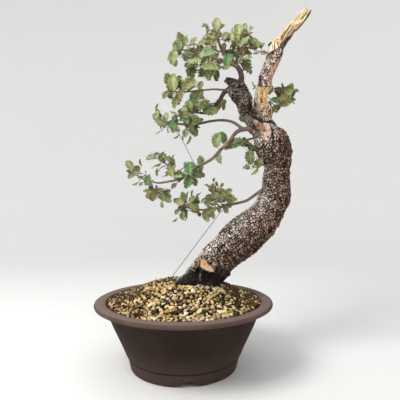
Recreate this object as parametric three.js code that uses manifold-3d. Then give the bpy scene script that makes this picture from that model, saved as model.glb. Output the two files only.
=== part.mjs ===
import * as THREE from 'three';
import { mergeVertices } from 'three/addons/utils/BufferGeometryUtils.js';
import Module from 'manifold-3d';

// A holm oak bonsai in a round unglazed pot. Millimetres, +Z up; while it is built, the pot's axis stands
// at x = y = 0 and its foot at z = 0. X runs to the right and Y away from the front.

const wasm = await Module();
wasm.setup();

// Driving dimensions
const GAP = 0.35;
const POT_RIM_RADIUS = 110;
const POT_HEIGHT = 82;
const POT_MOUTH_RADIUS = 96.5;
const POT_WALL = 4.5;
const FOOT_RADIUS = 66;
const FOOT_HEIGHT = 14;
const FOOT_RING_WIDTH = 10;
const FOOT_ARCH = { count: 3, turn: 6.5, bottom: 8.5, top: 3.2, height: 6 };
const FLOOR_TOP = 15;
const FLOOR_UNDERSIDE = 7;
const FLOOR_RADIUS = 60;
const DRAIN_RADIUS = 11.5;
const NET = { side: 38, bar: 1.6, cells: 4, thickness: 1 };
const SOIL_EDGE = { radius: 94.5, height: 80 };
const SOIL_MOUND = { x: 2, y: 6, radius: 56, height: 26 };
const SOIL_GRAIN = 1.8;
const BARK_DEPTH = 1.5;
const BLADE_THICKNESS = 0.7;
const STALK_WIDTH = 1.3;
const STEM_RADIUS = [1.7, 1.1];
const CLIP_RADIUS = 0.8;
const GUY_WIRE_RADIUS = 0.4;
const GUY_WRAP = { turns: 1.5, pitch: 1.6 };
const ANCHOR_WIRE_RADIUS = 0.8;

// How finely round things are divided
const POT_SIDES = 36;
const SOIL_RINGS = 10;
const TRUNK_GRID = [21, 38];
const LEADER_GRID = [9, 11];
const DEADWOOD_GRID = [9, 22];
const WRAP_STEPS = 9;

// The tree's lines are given as they show from the front, to an eye at EYE: x and height on the upright
// plane through the pot's axis, and in the middle how far behind that plane (less than 0: in front of it)
// the point really lies. A fourth number is the radius as it shows there.
const EYE = new THREE.Vector3(20, -483, 199);

const TRUNK = [
  [9, 2, 80, 18.5], [13, 2, 89, 20.4], [19, 2, 101, 21.4], [33, 2, 118, 22], [47, 4, 136, 21.2],
  [67, 8, 153, 24.2], [89, 12, 171, 23.7], [104, 14, 187, 19.8], [114, 14, 207, 18.5],
  [116, 12, 222, 17.7], [117, 8, 245, 15.3], [117, 6, 256, 17.7], [113, 4, 269, 21.4], [110, 2, 280, 24],
  [104, 1, 292, 20.8], [98, 0, 301, 14], [96, 0, 306, 6],
];
const LEADER = [
  [102, 0, 286, 15], [92, -4, 300, 11.5], [79, -10, 320, 9], [73, -14, 333, 10.7], [67, -17, 344, 12],
  [62, -18, 354, 11.5],
];
const DEADWOOD = [
  [100, 2, 284, 9], [99, 3, 296, 10.7], [98, 4, 309, 9.7], [97, 6, 321, 8.6], [98, 8, 334, 7.9],
  [101, 10, 349, 7.6], [105, 12, 363, 8.2], [111, 14, 379, 8.6], [117, 16, 395, 7.2], [125, 18, 406, 6.6],
  [136, 20, 419, 6], [147, 22, 434, 5.2], [155, 24, 446, 3.4],
];
const DEADWOOD_SPLINTER = [[141, 20, 429, 4], [151, 22, 443, 3], [158, 23, 449, 0.9]];
const SAWN_STUB = [[36, 6, 126, 9], [31, -12, 124, 9.5], [28, -27, 122, 8.5]];
const HOLLOW = { centre: [30, -27, 104], radii: [19, 13, 15] };

// Branches that are one piece of wood with the trunk
const BRANCHES = {
  lowest: [
    [114, 10, 226, 4], [106, 8, 223, 3], [98, 6, 219, 2.8], [84, 0, 209, 2.6], [77, -3, 204, 2.5],
    [65, -6, 201, 2.4], [53, -9, 198, 2.3], [39, -12, 195, 2], [24, -14, 193, 1.8], [10, -14, 194, 1.6],
  ],
  lowLeft: [
    [102, -2, 290, 5], [91, -6, 292, 4.2], [81, -8, 295, 4], [72, -11, 294, 3.8], [65, -14, 290, 3.6],
    [59, -17, 282, 3.5], [53, -20, 275, 3.3], [45, -23, 268, 3.1], [36, -26, 258, 3], [26, -29, 252, 2.8],
    [15, -31, 246, 2.7], [5, -31, 236, 2.5], [-8, -30, 231, 2.2], [-24, -28, 227, 2],
    [-33, -26, 226, 1.8], [-43, -23, 229, 1.6],
  ],
  middle: [
    [74, -11, 292, 3], [65, -6, 301, 2.9], [59, -2, 304, 2.7], [48, 4, 306, 2.5], [35, 9, 305, 2.3],
    [25, 13, 303, 2.1], [14, 16, 301, 2], [-3, 19, 301, 1.8], [-14, 20, 303, 1.6], [-22, 21, 304, 1.5],
  ],
  upper: [
    [64, -16, 346, 4], [52, -12, 343, 3.7], [48, -9, 337, 3.5], [44, -6, 330, 3.2], [38, -3, 324, 2.8],
    [29, 1, 316, 2.3], [20, 4, 315, 2],
  ],
  thin: [[60, -15, 344, 2], [53, -15, 344, 1.6], [39, -18, 345, 1.4], [24, -21, 344, 1.3]],
  crown: [
    [68, -17, 346, 4.5], [72, -16, 357, 3.8], [72, -15, 363, 3.6], [69, -13, 371, 3.4],
    [64, -12, 376, 3.2],
  ],
  crownLeft: [
    [66, -13, 374, 3], [57, -11, 379, 2.7], [48, -10, 382, 2.4], [36, -8, 384, 2], [24, -6, 388, 1.7],
  ],
  crownTop: [[58, -11, 379, 2.2], [51, -8, 390, 2], [46, -5, 398, 1.8], [43, -2, 408, 1.6]],
  crownRight: [[64, -12, 375, 2.6], [67, -10, 386, 2.2], [68, -7, 396, 1.9], [70, -4, 406, 1.6]],
};

// Leafy sprays: each has a stem, whose first point lies in or at the branch that bears it, and the tips of
// its twigs
const OLIVE = 0x7f8b62;
const FRESH = 0x6f9648;
const SPRAYS = [
  {
    name: 'crown_left', leaf: 16, colour: OLIVE,
    stem: [[24, -6, 388], [10, -4, 393], [-3, -2, 395]],
    tips: [
      [-3, 4, 408], [14, 8, 405], [5, -18, 401], [-12, -6, 395], [-12, -16, 384], [5, -24, 379],
      [16, -32, 378], [11, 6, 369], [2, 30, 395], [17, 36, 392], [-8, 18, 400],
    ],
  },
  {
    name: 'crown_front', leaf: 20, colour: FRESH,
    stem: [[48, -10, 382], [38, -20, 379], [30, -28, 381]],
    tips: [[31, -38, 390], [34, -44, 374], [24, -32, 374], [36, -30, 364], [48, -34, 372]],
  },
  {
    name: 'crown_top', leaf: 16, colour: OLIVE,
    stem: [[43, -2, 408], [40, 0, 417]],
    tips: [
      [40, 0, 424], [30, -8, 421], [46, 10, 417], [34, -14, 410], [50, -6, 410], [30, 10, 403],
      [38, 24, 407],
    ],
  },
  {
    name: 'crown_right', leaf: 15, colour: OLIVE,
    stem: [[70, -4, 406], [73, 0, 413]],
    tips: [[70, -2, 419], [79, 8, 416], [64, -12, 412], [75, -16, 407], [60, 12, 407], [72, 24, 410]],
  },
  {
    name: 'crown_right_low', leaf: 16, colour: OLIVE,
    stem: [[68, -7, 396], [78, -2, 397], [86, 4, 397]],
    tips: [[94, 8, 402], [84, -4, 392], [78, -14, 387], [70, -22, 386], [82, 22, 398], [98, 14, 395]],
  },
  {
    name: 'crown_back', leaf: 17, colour: OLIVE,
    stem: [[69, -13, 371], [65, 6, 379], [55, 24, 388], [45, 36, 393]],
    tips: [[65, 34, 392], [50, 42, 400], [38, 46, 390], [55, 30, 377], [28, 42, 397], [75, 28, 387]],
  },
  {
    name: 'crown_low', leaf: 17, colour: OLIVE,
    stem: [[63, -11, 376], [54, -7, 374]],
    tips: [[46, 0, 372], [55, -28, 379]],
  },
  {
    name: 'crown_under', leaf: 14, colour: OLIVE,
    stem: [[71, -13, 367], [77, -9, 371]],
    tips: [[83, -7, 369]],
  },
  {
    name: 'thin_branch', leaf: 16, colour: OLIVE,
    stem: [[24, -21, 344], [4, -26, 342], [-17, -29, 342]],
    tips: [
      [-15, -26, 354], [-23, -36, 347], [-22, -24, 338], [-8, -34, 334], [-10, -20, 330], [7, -22, 354],
      [0, -12, 348], [23, -26, 350],
    ],
  },
  {
    name: 'upper_inner', leaf: 18, colour: OLIVE,
    stem: [[20, 4, 315], [11, 8, 316], [5, 12, 319]],
    tips: [[14, 2, 334], [9, 14, 326], [23, -10, 328], [2, 20, 320], [17, 28, 321], [26, -4, 311]],
  },
  {
    name: 'upper_near', leaf: 17, colour: OLIVE,
    stem: [[38, -3, 324], [38, 4, 328]],
    tips: [[38, -14, 329], [48, 8, 328], [36, -16, 318], [28, 12, 324]],
  },
  {
    name: 'middle_left', leaf: 16, colour: OLIVE,
    stem: [[-22, 21, 304], [-30, 22, 306]],
    tips: [
      [-35, 22, 319], [-37, 20, 309], [-25, 28, 313], [-28, 14, 304], [-32, 22, 292], [-20, 12, 292],
      [-12, 32, 309], [-10, 6, 295], [-8, 20, 289],
    ],
  },
  {
    name: 'middle_inner', leaf: 17, colour: FRESH,
    stem: [[14, 16, 301], [7, 14, 309], [4, 12, 315]],
    tips: [
      [19, 4, 308], [2, 0, 314], [9, 0, 301], [5, 10, 291], [14, 22, 291], [0, 14, 285], [-1, 28, 316],
      [15, 34, 310],
    ],
  },
  {
    name: 'low_left_tip', leaf: 15, colour: OLIVE,
    stem: [[-43, -23, 229], [-52, -20, 233], [-61, -18, 237]],
    tips: [
      [-68, -16, 247], [-57, -20, 247], [-67, -12, 237], [-57, -26, 229], [-46, -36, 231],
      [-51, -24, 221], [-47, -8, 239], [-37, -12, 233],
    ],
  },
  {
    name: 'low_left_under', leaf: 15, colour: OLIVE,
    stem: [[-35, -25, 224], [-35, -24, 217]],
    tips: [[-44, -30, 215], [-37, -22, 209], [-28, -16, 214], [-22, -24, 208], [-28, -28, 204]],
  },
  {
    name: 'low_left_upper', leaf: 15, colour: OLIVE,
    stem: [[-8, -30, 231], [-14, -25, 244], [-24, -21, 252]],
    tips: [[-41, -18, 258], [-27, -14, 261], [-19, -24, 257], [-35, -28, 250], [-13, -34, 239]],
  },
  {
    name: 'low_left_inner', leaf: 18, colour: FRESH,
    stem: [[10, -31, 241], [7, -34, 236]],
    tips: [
      [9, -38, 247], [-4, -38, 234], [4, -34, 227], [14, -26, 228], [19, -42, 238], [23, -26, 255],
      [-9, -22, 226],
    ],
  },
  {
    name: 'lowest_outer', leaf: 15, colour: OLIVE,
    stem: [[10, -14, 194], [1, -14, 197], [-5, -12, 198]],
    tips: [
      [-3, -22, 203], [2, -6, 208], [-9, -4, 195], [-4, -18, 189], [0, -10, 185], [11, -12, 210],
      [10, -28, 199], [10, 2, 190], [17, 0, 205],
    ],
  },
  {
    name: 'lowest_inner', leaf: 16, colour: OLIVE,
    stem: [[45, -11, 197], [40, -12, 202], [38, -12, 208]],
    tips: [
      [38, -10, 218], [48, -2, 219], [55, -14, 213], [64, -8, 207], [53, -18, 197], [38, -22, 193],
      [28, -12, 190], [30, -24, 205], [41, -26, 210], [26, 4, 202], [41, 14, 207],
    ],
  },
  {
    name: 'right_of_trunk', leaf: 17, colour: OLIVE,
    stem: [[108, 10, 302], [112, 22, 317], [120, 23, 326], [126, 24, 334]],
    tips: [
      [120, 22, 344], [128, 30, 344], [135, 22, 339], [132, 16, 330], [116, 16, 334], [118, 16, 320],
      [91, 30, 348], [108, 32, 347], [108, 30, 326],
    ],
  },
  {
    name: 'fork', leaf: 15, colour: OLIVE,
    stem: [[88, 8, 296], [77, 12, 304]],
    tips: [[73, 12, 309], [79, 20, 306]],
  },
  {
    name: 'inner_upper', leaf: 16, colour: FRESH,
    stem: [[91, 4, 284], [77, 4, 281], [63, 0, 275], [53, -4, 272]],
    tips: [[82, -8, 276], [73, 10, 277], [63, -6, 270], [46, -8, 280], [45, -10, 265], [57, 10, 274]],
  },
  {
    name: 'inner_lower', leaf: 14, colour: FRESH,
    stem: [[105, -2, 249], [93, -8, 251], [84, -9, 256]],
    tips: [[82, -12, 260], [77, -8, 248], [91, -18, 252], [87, -6, 243], [96, 4, 262]],
  },
];

// Half of a leaf's edge, from the end of its stalk to its tip, in leaf lengths: along, out to the side, and
// up. Two spiny teeth stand out and curl up, with a notch between them.
const LEAF_EDGE = [[0.24, 0.36, 0.06], [0.42, 0.28, -0.04], [0.66, 0.33, 0.06], [1, 0, 0.03]];

const CLAY = { color: 0x5d4c49, roughness: 0.85 };
const SOIL = { color: 0xa88f62, roughness: 1 };
const BARK = { color: 0x5f5148, roughness: 1 };
const BARE_WOOD = { color: 0xc9a06a, roughness: 0.8 };
const ALUMINIUM = { color: 0x8d8d8d, roughness: 0.4, metalness: 1 };
const PLASTIC = { color: 0x23302a, roughness: 0.6 };

/** A steady number from 0 to 1 for each whole number. */
function scatter(seed) {
  const wave = Math.sin(seed * 12.9898) * 43758.5453;
  return wave - Math.floor(wave);
}

/** How many times its size on the upright plane a thing at this depth really has. */
function nearness(depth) {
  return (depth - EYE.y) / -EYE.y;
}

function placed([x, depth, height]) {
  return EYE.clone().lerp(new THREE.Vector3(x, 0, height), nearness(depth));
}

/** A closed geometry as a solid that can be joined and cut. */
function solid(geometry) {
  geometry.deleteAttribute('normal');
  geometry.deleteAttribute('uv');
  const merged = mergeVertices(geometry, 1e-4);
  const corners = merged.index.array;
  const triVerts = [];
  for (let i = 0; i < corners.length; i += 3) {
    const [a, b, c] = corners.subarray(i, i + 3);
    if (a !== b && b !== c && c !== a) triVerts.push(a, b, c);
  }
  const vertProperties = merged.getAttribute('position').array;
  const mesh = new wasm.Mesh({ numProp: 3, vertProperties, triVerts: new Uint32Array(triVerts) });
  return new wasm.Manifold(mesh);
}

/** The largest body of a solid with its specks and sealed hollows left out. */
function oneBody(body) {
  const bodies = body.decompose();
  const largest = bodies.reduce((best, next) => (next.volume() > best.volume() ? next : best));
  return largest.asOriginal().simplify(0.03);
}

/** A closed body along a line of centres: a cylinder whose rings stand square on the line. */
function alongLine(centres, radiusAt, sides) {
  const rings = centres.length - 1;
  const geometry = new THREE.CylinderGeometry(1, 1, 1, sides, rings);
  const frames = [];
  let across = new THREE.Vector3(0.3, -0.9, 0.1);
  for (let i = 0; i <= rings; i++) {
    const ahead = centres[Math.min(i + 1, rings)];
    const tangent = ahead.clone().sub(centres[Math.max(i - 1, 0)]).normalize();
    across = across.clone().addScaledVector(tangent, -across.dot(tangent)).normalize();
    frames.push([across.clone().cross(tangent).negate(), tangent, across]);
  }
  const position = geometry.getAttribute('position');
  for (let i = 0; i < position.count; i++) {
    const [x, y, z] = [position.getX(i), position.getY(i), position.getZ(i)];
    const ring = Math.round((y + 0.5) * rings);
    const column = (Math.round((Math.atan2(x, z) / (2 * Math.PI)) * sides) + sides) % sides;
    const radius = radiusAt(ring, column);
    const [right, , up] = frames[ring];
    const point = centres[ring].clone().addScaledVector(right, x * radius);
    point.addScaledVector(up, z * radius);
    position.setXYZ(i, point.x, point.y, point.z);
  }
  return solid(geometry);
}

/** A limb of wood through hand-set points with radii, fatter and longer all round where extra is given. */
function limb(points, [sides, rings], extra = 0, relief = () => 0) {
  const curve = new THREE.CatmullRomCurve3(points.map(placed));
  const spans = points.length - 1;
  const centres = [];
  const radii = [];
  for (let i = 0; i <= rings; i++) {
    const along = curve.getUtoTmapping(i / rings) * spans;
    const first = Math.min(Math.floor(along), spans - 1);
    const blend = along - first;
    const depth = THREE.MathUtils.lerp(points[first][1], points[first + 1][1], blend);
    radii.push(THREE.MathUtils.lerp(points[first][3], points[first + 1][3], blend) * nearness(depth));
    centres.push(curve.getPointAt(i / rings));
  }
  centres[0].addScaledVector(curve.getTangentAt(0), -extra);
  centres[rings].addScaledVector(curve.getTangentAt(1), extra);
  return alongLine(centres, (ring, column) => radii[ring] + relief(ring, column) + extra, sides);
}

/** Bark: plates two columns wide and two rings long, each row a step on, with a furrow round each. */
function bark(ring, column) {
  const row = Math.floor(column / 3);
  const furrow = column % 3 === 0 || (ring + 2 * row) % 3 === 0;
  return BARK_DEPTH * (furrow ? -0.9 : 0.2 + 0.9 * scatter(ring * 31 + column * 7));
}

/** Weathered bare wood: ridges that wind slowly up the grain. */
function grain(ring, column) {
  return 0.9 * Math.sin(column * 1.9 + ring * 0.35) + 0.5 * scatter(ring * 17 + column * 5);
}

/** The bare spike with its torn tip, grown by extra on every side. */
function bareWood(extra) {
  return limb(DEADWOOD, DEADWOOD_GRID, extra, grain).add(limb(DEADWOOD_SPLINTER, [5, 3], extra));
}

/** The wood of the living tree, grown by extra on every side. */
function livingWood(extra) {
  const bodies = [
    limb(TRUNK, TRUNK_GRID, extra, bark),
    limb(LEADER, LEADER_GRID, extra, bark),
    limb(SAWN_STUB, [8, 2], extra),
  ];
  for (const points of Object.values(BRANCHES)) bodies.push(limb(points, [4, points.length], extra));
  return wasm.Manifold.union(bodies);
}

function ellipsoid(centre, radii) {
  const ball = new THREE.SphereGeometry(1, 12, 8);
  ball.scale(...radii);
  ball.translate(...placed(centre).toArray());
  return solid(ball);
}

/** A body turned about the pot's axis from an outline of [radius, height] points. */
function turned(outline, closed) {
  const points = outline.map(([radius, height]) => new THREE.Vector2(radius, height));
  if (closed) points.push(points[0].clone());
  const geometry = new THREE.LatheGeometry(points, POT_SIDES);
  geometry.rotateX(Math.PI / 2);
  return geometry;
}

/** One of the foot's cut-outs: a low arch with a bracket-shaped top, at the front. */
function footArch() {
  const { bottom, top, height } = FOOT_ARCH;
  const swell = height / 2;
  const shape = new THREE.Shape();
  shape.moveTo(-bottom, -1);
  shape.lineTo(bottom, -1);
  shape.lineTo(bottom, 0);
  shape.bezierCurveTo(bottom - 1, swell, top + 2, swell, top, height);
  shape.lineTo(-top, height);
  shape.bezierCurveTo(-top - 2, swell, -bottom + 1, swell, -bottom, 0);
  const depth = 2 * FOOT_RING_WIDTH;
  const arch = new THREE.ExtrudeGeometry(shape, { depth, bevelEnabled: false, curveSegments: 3 });
  arch.rotateX(Math.PI / 2);
  arch.translate(0, -FOOT_RADIUS + 1.5 * FOOT_RING_WIDTH, 0);
  return arch;
}

// Pot: thrown stoneware with a foot ring, a groove turned above the foot, a rolled lip and a floor hole
function makePot() {
  const ringInside = FOOT_RADIUS - FOOT_RING_WIDTH;
  const outline = [
    [ringInside, 0], [FOOT_RADIUS - 0.8, 0], [FOOT_RADIUS + 2.8, FOOT_HEIGHT - 0.8],
    [FOOT_RADIUS + 1.6, FOOT_HEIGHT + 0.2], [FOOT_RADIUS + 4.3, FOOT_HEIGHT + 1.8], [81, 38],
    [89 + POT_WALL, 67], [93 + POT_WALL, 73.6], [POT_RIM_RADIUS - 1.5, POT_HEIGHT - 5.8],
    [POT_RIM_RADIUS, POT_HEIGHT - 3.6], [POT_RIM_RADIUS - 2, POT_HEIGHT - 0.4],
    [POT_MOUTH_RADIUS, POT_HEIGHT], [89, 70], [FLOOR_RADIUS, FLOOR_TOP], [DRAIN_RADIUS, FLOOR_TOP],
    [DRAIN_RADIUS, FLOOR_UNDERSIDE], [ringInside, FLOOR_UNDERSIDE],
  ];
  let pot = solid(turned(outline, true));
  for (let i = 0; i < FOOT_ARCH.count; i++) {
    const arch = footArch();
    arch.rotateZ(THREE.MathUtils.degToRad(FOOT_ARCH.turn + (360 / FOOT_ARCH.count) * i));
    pot = pot.subtract(solid(arch));
  }
  return oneBody(pot);
}

// Drainage mesh: a square of plastic net that lies on the floor over the hole
function makeDrainageMesh() {
  const { side, bar, cells, thickness } = NET;
  const pitch = (side - bar) / cells;
  const middleHeight = FLOOR_TOP + GAP + thickness / 2;
  const holes = [];
  for (let row = 0; row < cells; row++) {
    for (let column = 0; column < cells; column++) {
      const hole = new THREE.BoxGeometry(pitch - bar, pitch - bar, 3 * thickness);
      hole.translate((column - (cells - 1) / 2) * pitch, (row - (cells - 1) / 2) * pitch, middleHeight);
      holes.push(solid(hole));
    }
  }
  const sheet = new THREE.BoxGeometry(side, side, thickness);
  sheet.translate(0, 0, middleHeight);
  return solid(sheet).subtract(wasm.Manifold.union(holes));
}

/** A round wire through a line of points. */
function wire(points, radius, sides = 5) {
  return alongLine(points, () => radius, sides);
}

// Mesh clip: a wire staple over the net, with its legs through the hole and bent out under the floor
const CLIP_Y = 4.6;
const CLIP_SIDE = [[18, 5.4], [9, 5.4], [6.5, 7.4], [6.5, 16.8], [5.3, 17.8]];
const CLIP = [...CLIP_SIDE, ...CLIP_SIDE.map(([x, z]) => [-x, z]).reverse()].map(
  ([x, z]) => new THREE.Vector3(x, CLIP_Y, z),
);

// Anchor wire: up through the hole, the net and the soil, over the foot of the trunk and down again
const ANCHOR = [
  [-4.5, -4.6, 5.2], [-4.5, -4.6, 20], [0, -16, 50], [6, -24, 84], [9, -26, 98], [14, -27, 104.5],
  [20, -27.5, 106], [25, -27.5, 104], [29, -26.5, 97], [28, -24, 84], [16, -14, 50], [4.5, -4.6, 20],
  [4.5, -4.6, 5.2], [0, -4.6, 3.9],
].map((p) => new THREE.Vector3(...p));

/** The end of a guy wire: its turns round a branch, begun on the side towards start. */
function wrap(start, [here, next]) {
  const centre = placed(here);
  const axis = placed(next).sub(centre).normalize();
  const pull = centre.clone().sub(start);
  pull.addScaledVector(axis, -pull.dot(axis)).normalize();
  const out = pull.clone().cross(axis);
  const radius = here[3] * nearness(here[1]) + GAP + GUY_WIRE_RADIUS;
  return Array.from({ length: Math.round(GUY_WRAP.turns * WRAP_STEPS) + 1 }, (_, i) => {
    const angle = (i / WRAP_STEPS) * 2 * Math.PI;
    const point = centre.clone().addScaledVector(axis, (i / WRAP_STEPS) * GUY_WRAP.pitch);
    point.addScaledVector(out, radius * Math.cos(angle));
    return point.addScaledVector(pull, radius * Math.sin(angle));
  });
}

/** Soil height: level with the rim near the wall, and heaped up round the foot of the trunk. */
function soilHeight(x, y) {
  const reach = Math.hypot(x - SOIL_MOUND.x, y - SOIL_MOUND.y) / SOIL_MOUND.radius;
  return SOIL_EDGE.height + SOIL_MOUND.height * Math.exp(-(reach ** 3));
}

// Soil: the filling of the pot in one body, with its grains raised larger than life on top
function makeSoil() {
  const overNet = NET.side * 0.75;
  const outline = [
    [0, FLOOR_TOP + 4], [overNet - 2, FLOOR_TOP + 4], [overNet, FLOOR_TOP + GAP],
    [FLOOR_RADIUS - 0.6, FLOOR_TOP + GAP], [88.4, 70],
  ];
  for (let ring = SOIL_RINGS; ring >= 0; ring--) {
    outline.push([(SOIL_EDGE.radius * ring) / SOIL_RINGS, SOIL_EDGE.height]);
  }
  const geometry = turned(outline, false);
  const position = geometry.getAttribute('position');
  for (let i = 0; i < position.count; i++) {
    const [x, y, z] = [position.getX(i), position.getY(i), position.getZ(i)];
    if (z < SOIL_EDGE.height - 0.1) continue;
    const sector = (Math.round((Math.atan2(y, x) / (2 * Math.PI)) * POT_SIDES) + POT_SIDES) % POT_SIDES;
    const ring = Math.round((Math.hypot(x, y) / SOIL_EDGE.radius) * SOIL_RINGS);
    const raised = ring % SOIL_RINGS === 0 ? 0 : SOIL_GRAIN * (2 * scatter(ring * 53 + sector * 3) - 1);
    position.setZ(i, soilHeight(x, y) + raised);
  }
  return solid(geometry);
}

const LEAF_OUTLINE = [
  ...LEAF_EDGE.map(([u, v, lift]) => [u, -v, lift]),
  ...LEAF_EDGE.slice(0, -1).reverse(),
];

/** A leaf: its stalk runs from root to neck, and its blade on from there with the upper face to facing. */
function leaf({ root, neck, direction, facing, length }, extra = 0) {
  const normal = facing.clone().addScaledVector(direction, -facing.dot(direction)).normalize();
  const side = normal.clone().cross(direction);
  const half = STALK_WIDTH / 2 + extra;
  const size = length + 4 * extra;
  const edge = LEAF_OUTLINE.map(([u, v]) => [u * size, v * size]);
  const flat = [[-1, half], [-1, -half], [0, -half], ...edge, [0, half]];
  const lifts = LEAF_OUTLINE.map(([u, v, lift]) => [u * size, lift * length]);
  const shape = new THREE.Shape(flat.map(([x, y]) => new THREE.Vector2(x, y)));
  const depth = BLADE_THICKNESS + 2 * extra;
  const blade = new THREE.ExtrudeGeometry(shape, { depth, bevelEnabled: false });
  const position = blade.getAttribute('position');
  for (let i = 0; i < position.count; i++) {
    const [x, y, z] = [position.getX(i), position.getY(i), position.getZ(i)];
    const lift = lifts.find(([along]) => Math.abs(along - x) < 1e-3)?.[1] ?? 0;
    const point = x < 0 ? root.clone() : neck.clone().addScaledVector(direction, x - extra);
    point.addScaledVector(side, y).addScaledVector(normal, lift + z - BLADE_THICKNESS / 2 - extra);
    position.setXYZ(i, point.x, point.y, point.z);
  }
  return solid(blade);
}

/** A unit vector scattered round a heading. */
function strayed(heading, amount, seed) {
  const [x, y, z] = [0, 0.37, 0.71].map((step) => 2 * scatter(seed + step) - 1);
  return heading.clone().normalize().addScaledVector(new THREE.Vector3(x, y, z), amount).normalize();
}

/** True where a point lies in a body or closer to it than a stalk is wide. */
function within(point, body) {
  const speck = new THREE.OctahedronGeometry(0.1);
  speck.translate(...point.toArray());
  return body.minGap(solid(speck), 2 * STALK_WIDTH) < STALK_WIDTH;
}

// Leaves look up and to the front, more or less
const LEAF_FACING = new THREE.Vector3(-0.1, -0.8, 0.6);
const FACING_STRAY = 0.75;
const ATTEMPTS = 24;

/** A leaf set so that it crosses neither the wood, its siblings nor other sprays and wires. */
function freeLeaf(root, end, stray, length, seed, wood, siblings, others) {
  const heading = end.clone().sub(root);
  for (let attempt = 0; attempt < ATTEMPTS; attempt++) {
    const turn = seed + attempt * 41;
    const direction = strayed(heading, stray + attempt / ATTEMPTS, turn);
    const facing = strayed(LEAF_FACING, FACING_STRAY, turn + 3);
    const neck = end.clone().addScaledVector(direction, -0.4 * length);
    const whole = { root, neck, direction, facing, length };
    const body = leaf(whole);
    const outside = body.subtract(wood);
    const offStem = root.clone().lerp(neck, Math.min(0.7, 3 / root.distanceTo(neck)));
    const free = leaf({ ...whole, root: offStem });
    const bladeRoom = leaf({ ...whole, root: neck.clone().sub(direction) }, GAP);
    const inWood = bladeRoom.intersect(wood).volume() > 0;
    const inSibling = siblings.some((sibling) => free.minGap(sibling, GAP) < 0.1);
    const inOther = others.some((other) => outside.minGap(other, 1) < 0.9 * GAP);
    if (!inWood && !inSibling && !inOther) return body;
  }
  return null;
}

/** A spray: a stem with a leaf to each tip, and by every fifth one a leaf that forks from its stalk. */
function makeSpray({ stem, tips, leaf: leafLength }, number, wood, others) {
  const curve = new THREE.CatmullRomCurve3(stem.map(placed));
  const rings = stem.length;
  const stemRadius = (ring) => THREE.MathUtils.lerp(...STEM_RADIUS, ring / rings);
  const stemBody = alongLine(curve.getSpacedPoints(rings), stemRadius, 3);
  const bare = curve.getSpacedPoints(60).filter((point) => !within(point, wood));
  const slotCount = Math.max(tips.length, Math.round(curve.getLength() / 2));
  const slots = [];
  for (let i = 1; i <= slotCount; i++) slots.push(bare[Math.floor((i / slotCount) * (bare.length - 1))]);
  const leaves = [];
  const addLeaf = (root, end, stray, length, seed) => {
    const body = freeLeaf(root, end, stray, length, seed, wood, leaves, others);
    if (body) leaves.push(body);
  };
  tips.forEach((tip, k) => {
    const end = placed(tip);
    const gaps = slots.map((slot) => slot.distanceTo(end));
    const nearest = slots[gaps.indexOf(Math.min(...gaps))];
    slots.splice(slots.indexOf(nearest), 1);
    const seed = number * 97 + k * 13;
    const length = leafLength * (0.85 + 0.35 * scatter(seed + 7));
    addLeaf(nearest, end, 0.15, length, seed);
    if (k % 5 > 0) return;
    const aside = strayed(end.clone().sub(nearest), 0.9, seed + 5).multiplyScalar(0.9 * length);
    const fork = nearest.clone().lerp(end, 0.3);
    addLeaf(fork, fork.clone().add(aside), 0.3, 0.9 * length, seed + 11);
  });
  return oneBody(wasm.Manifold.union([stemBody, ...leaves]).subtract(wood));
}

const bonsai = new THREE.Group();
const standing = new THREE.Group();
bonsai.add(standing);

function addPiece(name, body, look) {
  const { vertProperties, triVerts } = body.getMesh();
  const geometry = new THREE.BufferGeometry();
  geometry.setAttribute('position', new THREE.BufferAttribute(vertProperties, 3));
  geometry.setIndex(new THREE.BufferAttribute(triVerts, 1));
  geometry.computeVertexNormals();
  const piece = new THREE.Mesh(geometry, new THREE.MeshStandardMaterial(look));
  piece.name = name;
  standing.add(piece);
}

const trunkRoom = livingWood(GAP);
const deadwoodRoom = bareWood(GAP);
const wood = trunkRoom.add(deadwoodRoom);
const trunk = livingWood(0).subtract(deadwoodRoom).subtract(ellipsoid(HOLLOW.centre, HOLLOW.radii));

// Guy wires: the lower one runs from the soil to the lowest branch, the upper one from branch to branch
const lowHold = BRANCHES.lowest.slice(5, 7).reverse();
const midHold = BRANCHES.middle.slice(8, 10);
const downHold = BRANCHES.lowLeft.slice(9, 11).reverse();
const soilEnd = [placed([-21, -6, 92]), placed([-18, -6, 105])];
const lowerGuy = [...soilEnd, ...wrap(soilEnd[1], lowHold)];
const upperGuy = [...wrap(placed(downHold[0]), midHold).reverse(), ...wrap(placed(midHold[0]), downHold)];
const guyWires = {
  guy_wire_lower: wire(lowerGuy, GUY_WIRE_RADIUS, 4),
  guy_wire_upper: wire(upperGuy, GUY_WIRE_RADIUS, 4),
};
const soilHoles = [
  trunkRoom,
  wire(lowerGuy, GUY_WIRE_RADIUS + GAP, 4),
  wire(ANCHOR, ANCHOR_WIRE_RADIUS + GAP),
];

addPiece('pot', makePot(), CLAY);
addPiece('drainage_mesh', makeDrainageMesh(), PLASTIC);
addPiece('mesh_clip', wire(CLIP, CLIP_RADIUS), ALUMINIUM);
addPiece('anchor_wire', wire(ANCHOR, ANCHOR_WIRE_RADIUS), ALUMINIUM);
addPiece('soil', oneBody(makeSoil().subtract(wasm.Manifold.union(soilHoles))), SOIL);
addPiece('trunk', oneBody(trunk), BARK);
addPiece('deadwood', oneBody(bareWood(0)), BARE_WOOD);
for (const [name, body] of Object.entries(guyWires)) addPiece(name, body, ALUMINIUM);

const others = Object.values(guyWires);
SPRAYS.forEach((spray, i) => {
  const body = makeSpray(spray, i + 1, wood, others);
  others.push(body);
  addPiece(`spray_${spray.name}`, body, { color: spray.colour, roughness: 0.7 });
});

// The origin goes to the middle of the footprint, on the plane that the pot stands on
const box = new THREE.Box3().setFromObject(standing);
const middle = box.getCenter(new THREE.Vector3());
standing.position.set(-middle.x, -middle.y, -box.min.z);

export default bonsai;
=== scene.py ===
import math
import random

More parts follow.
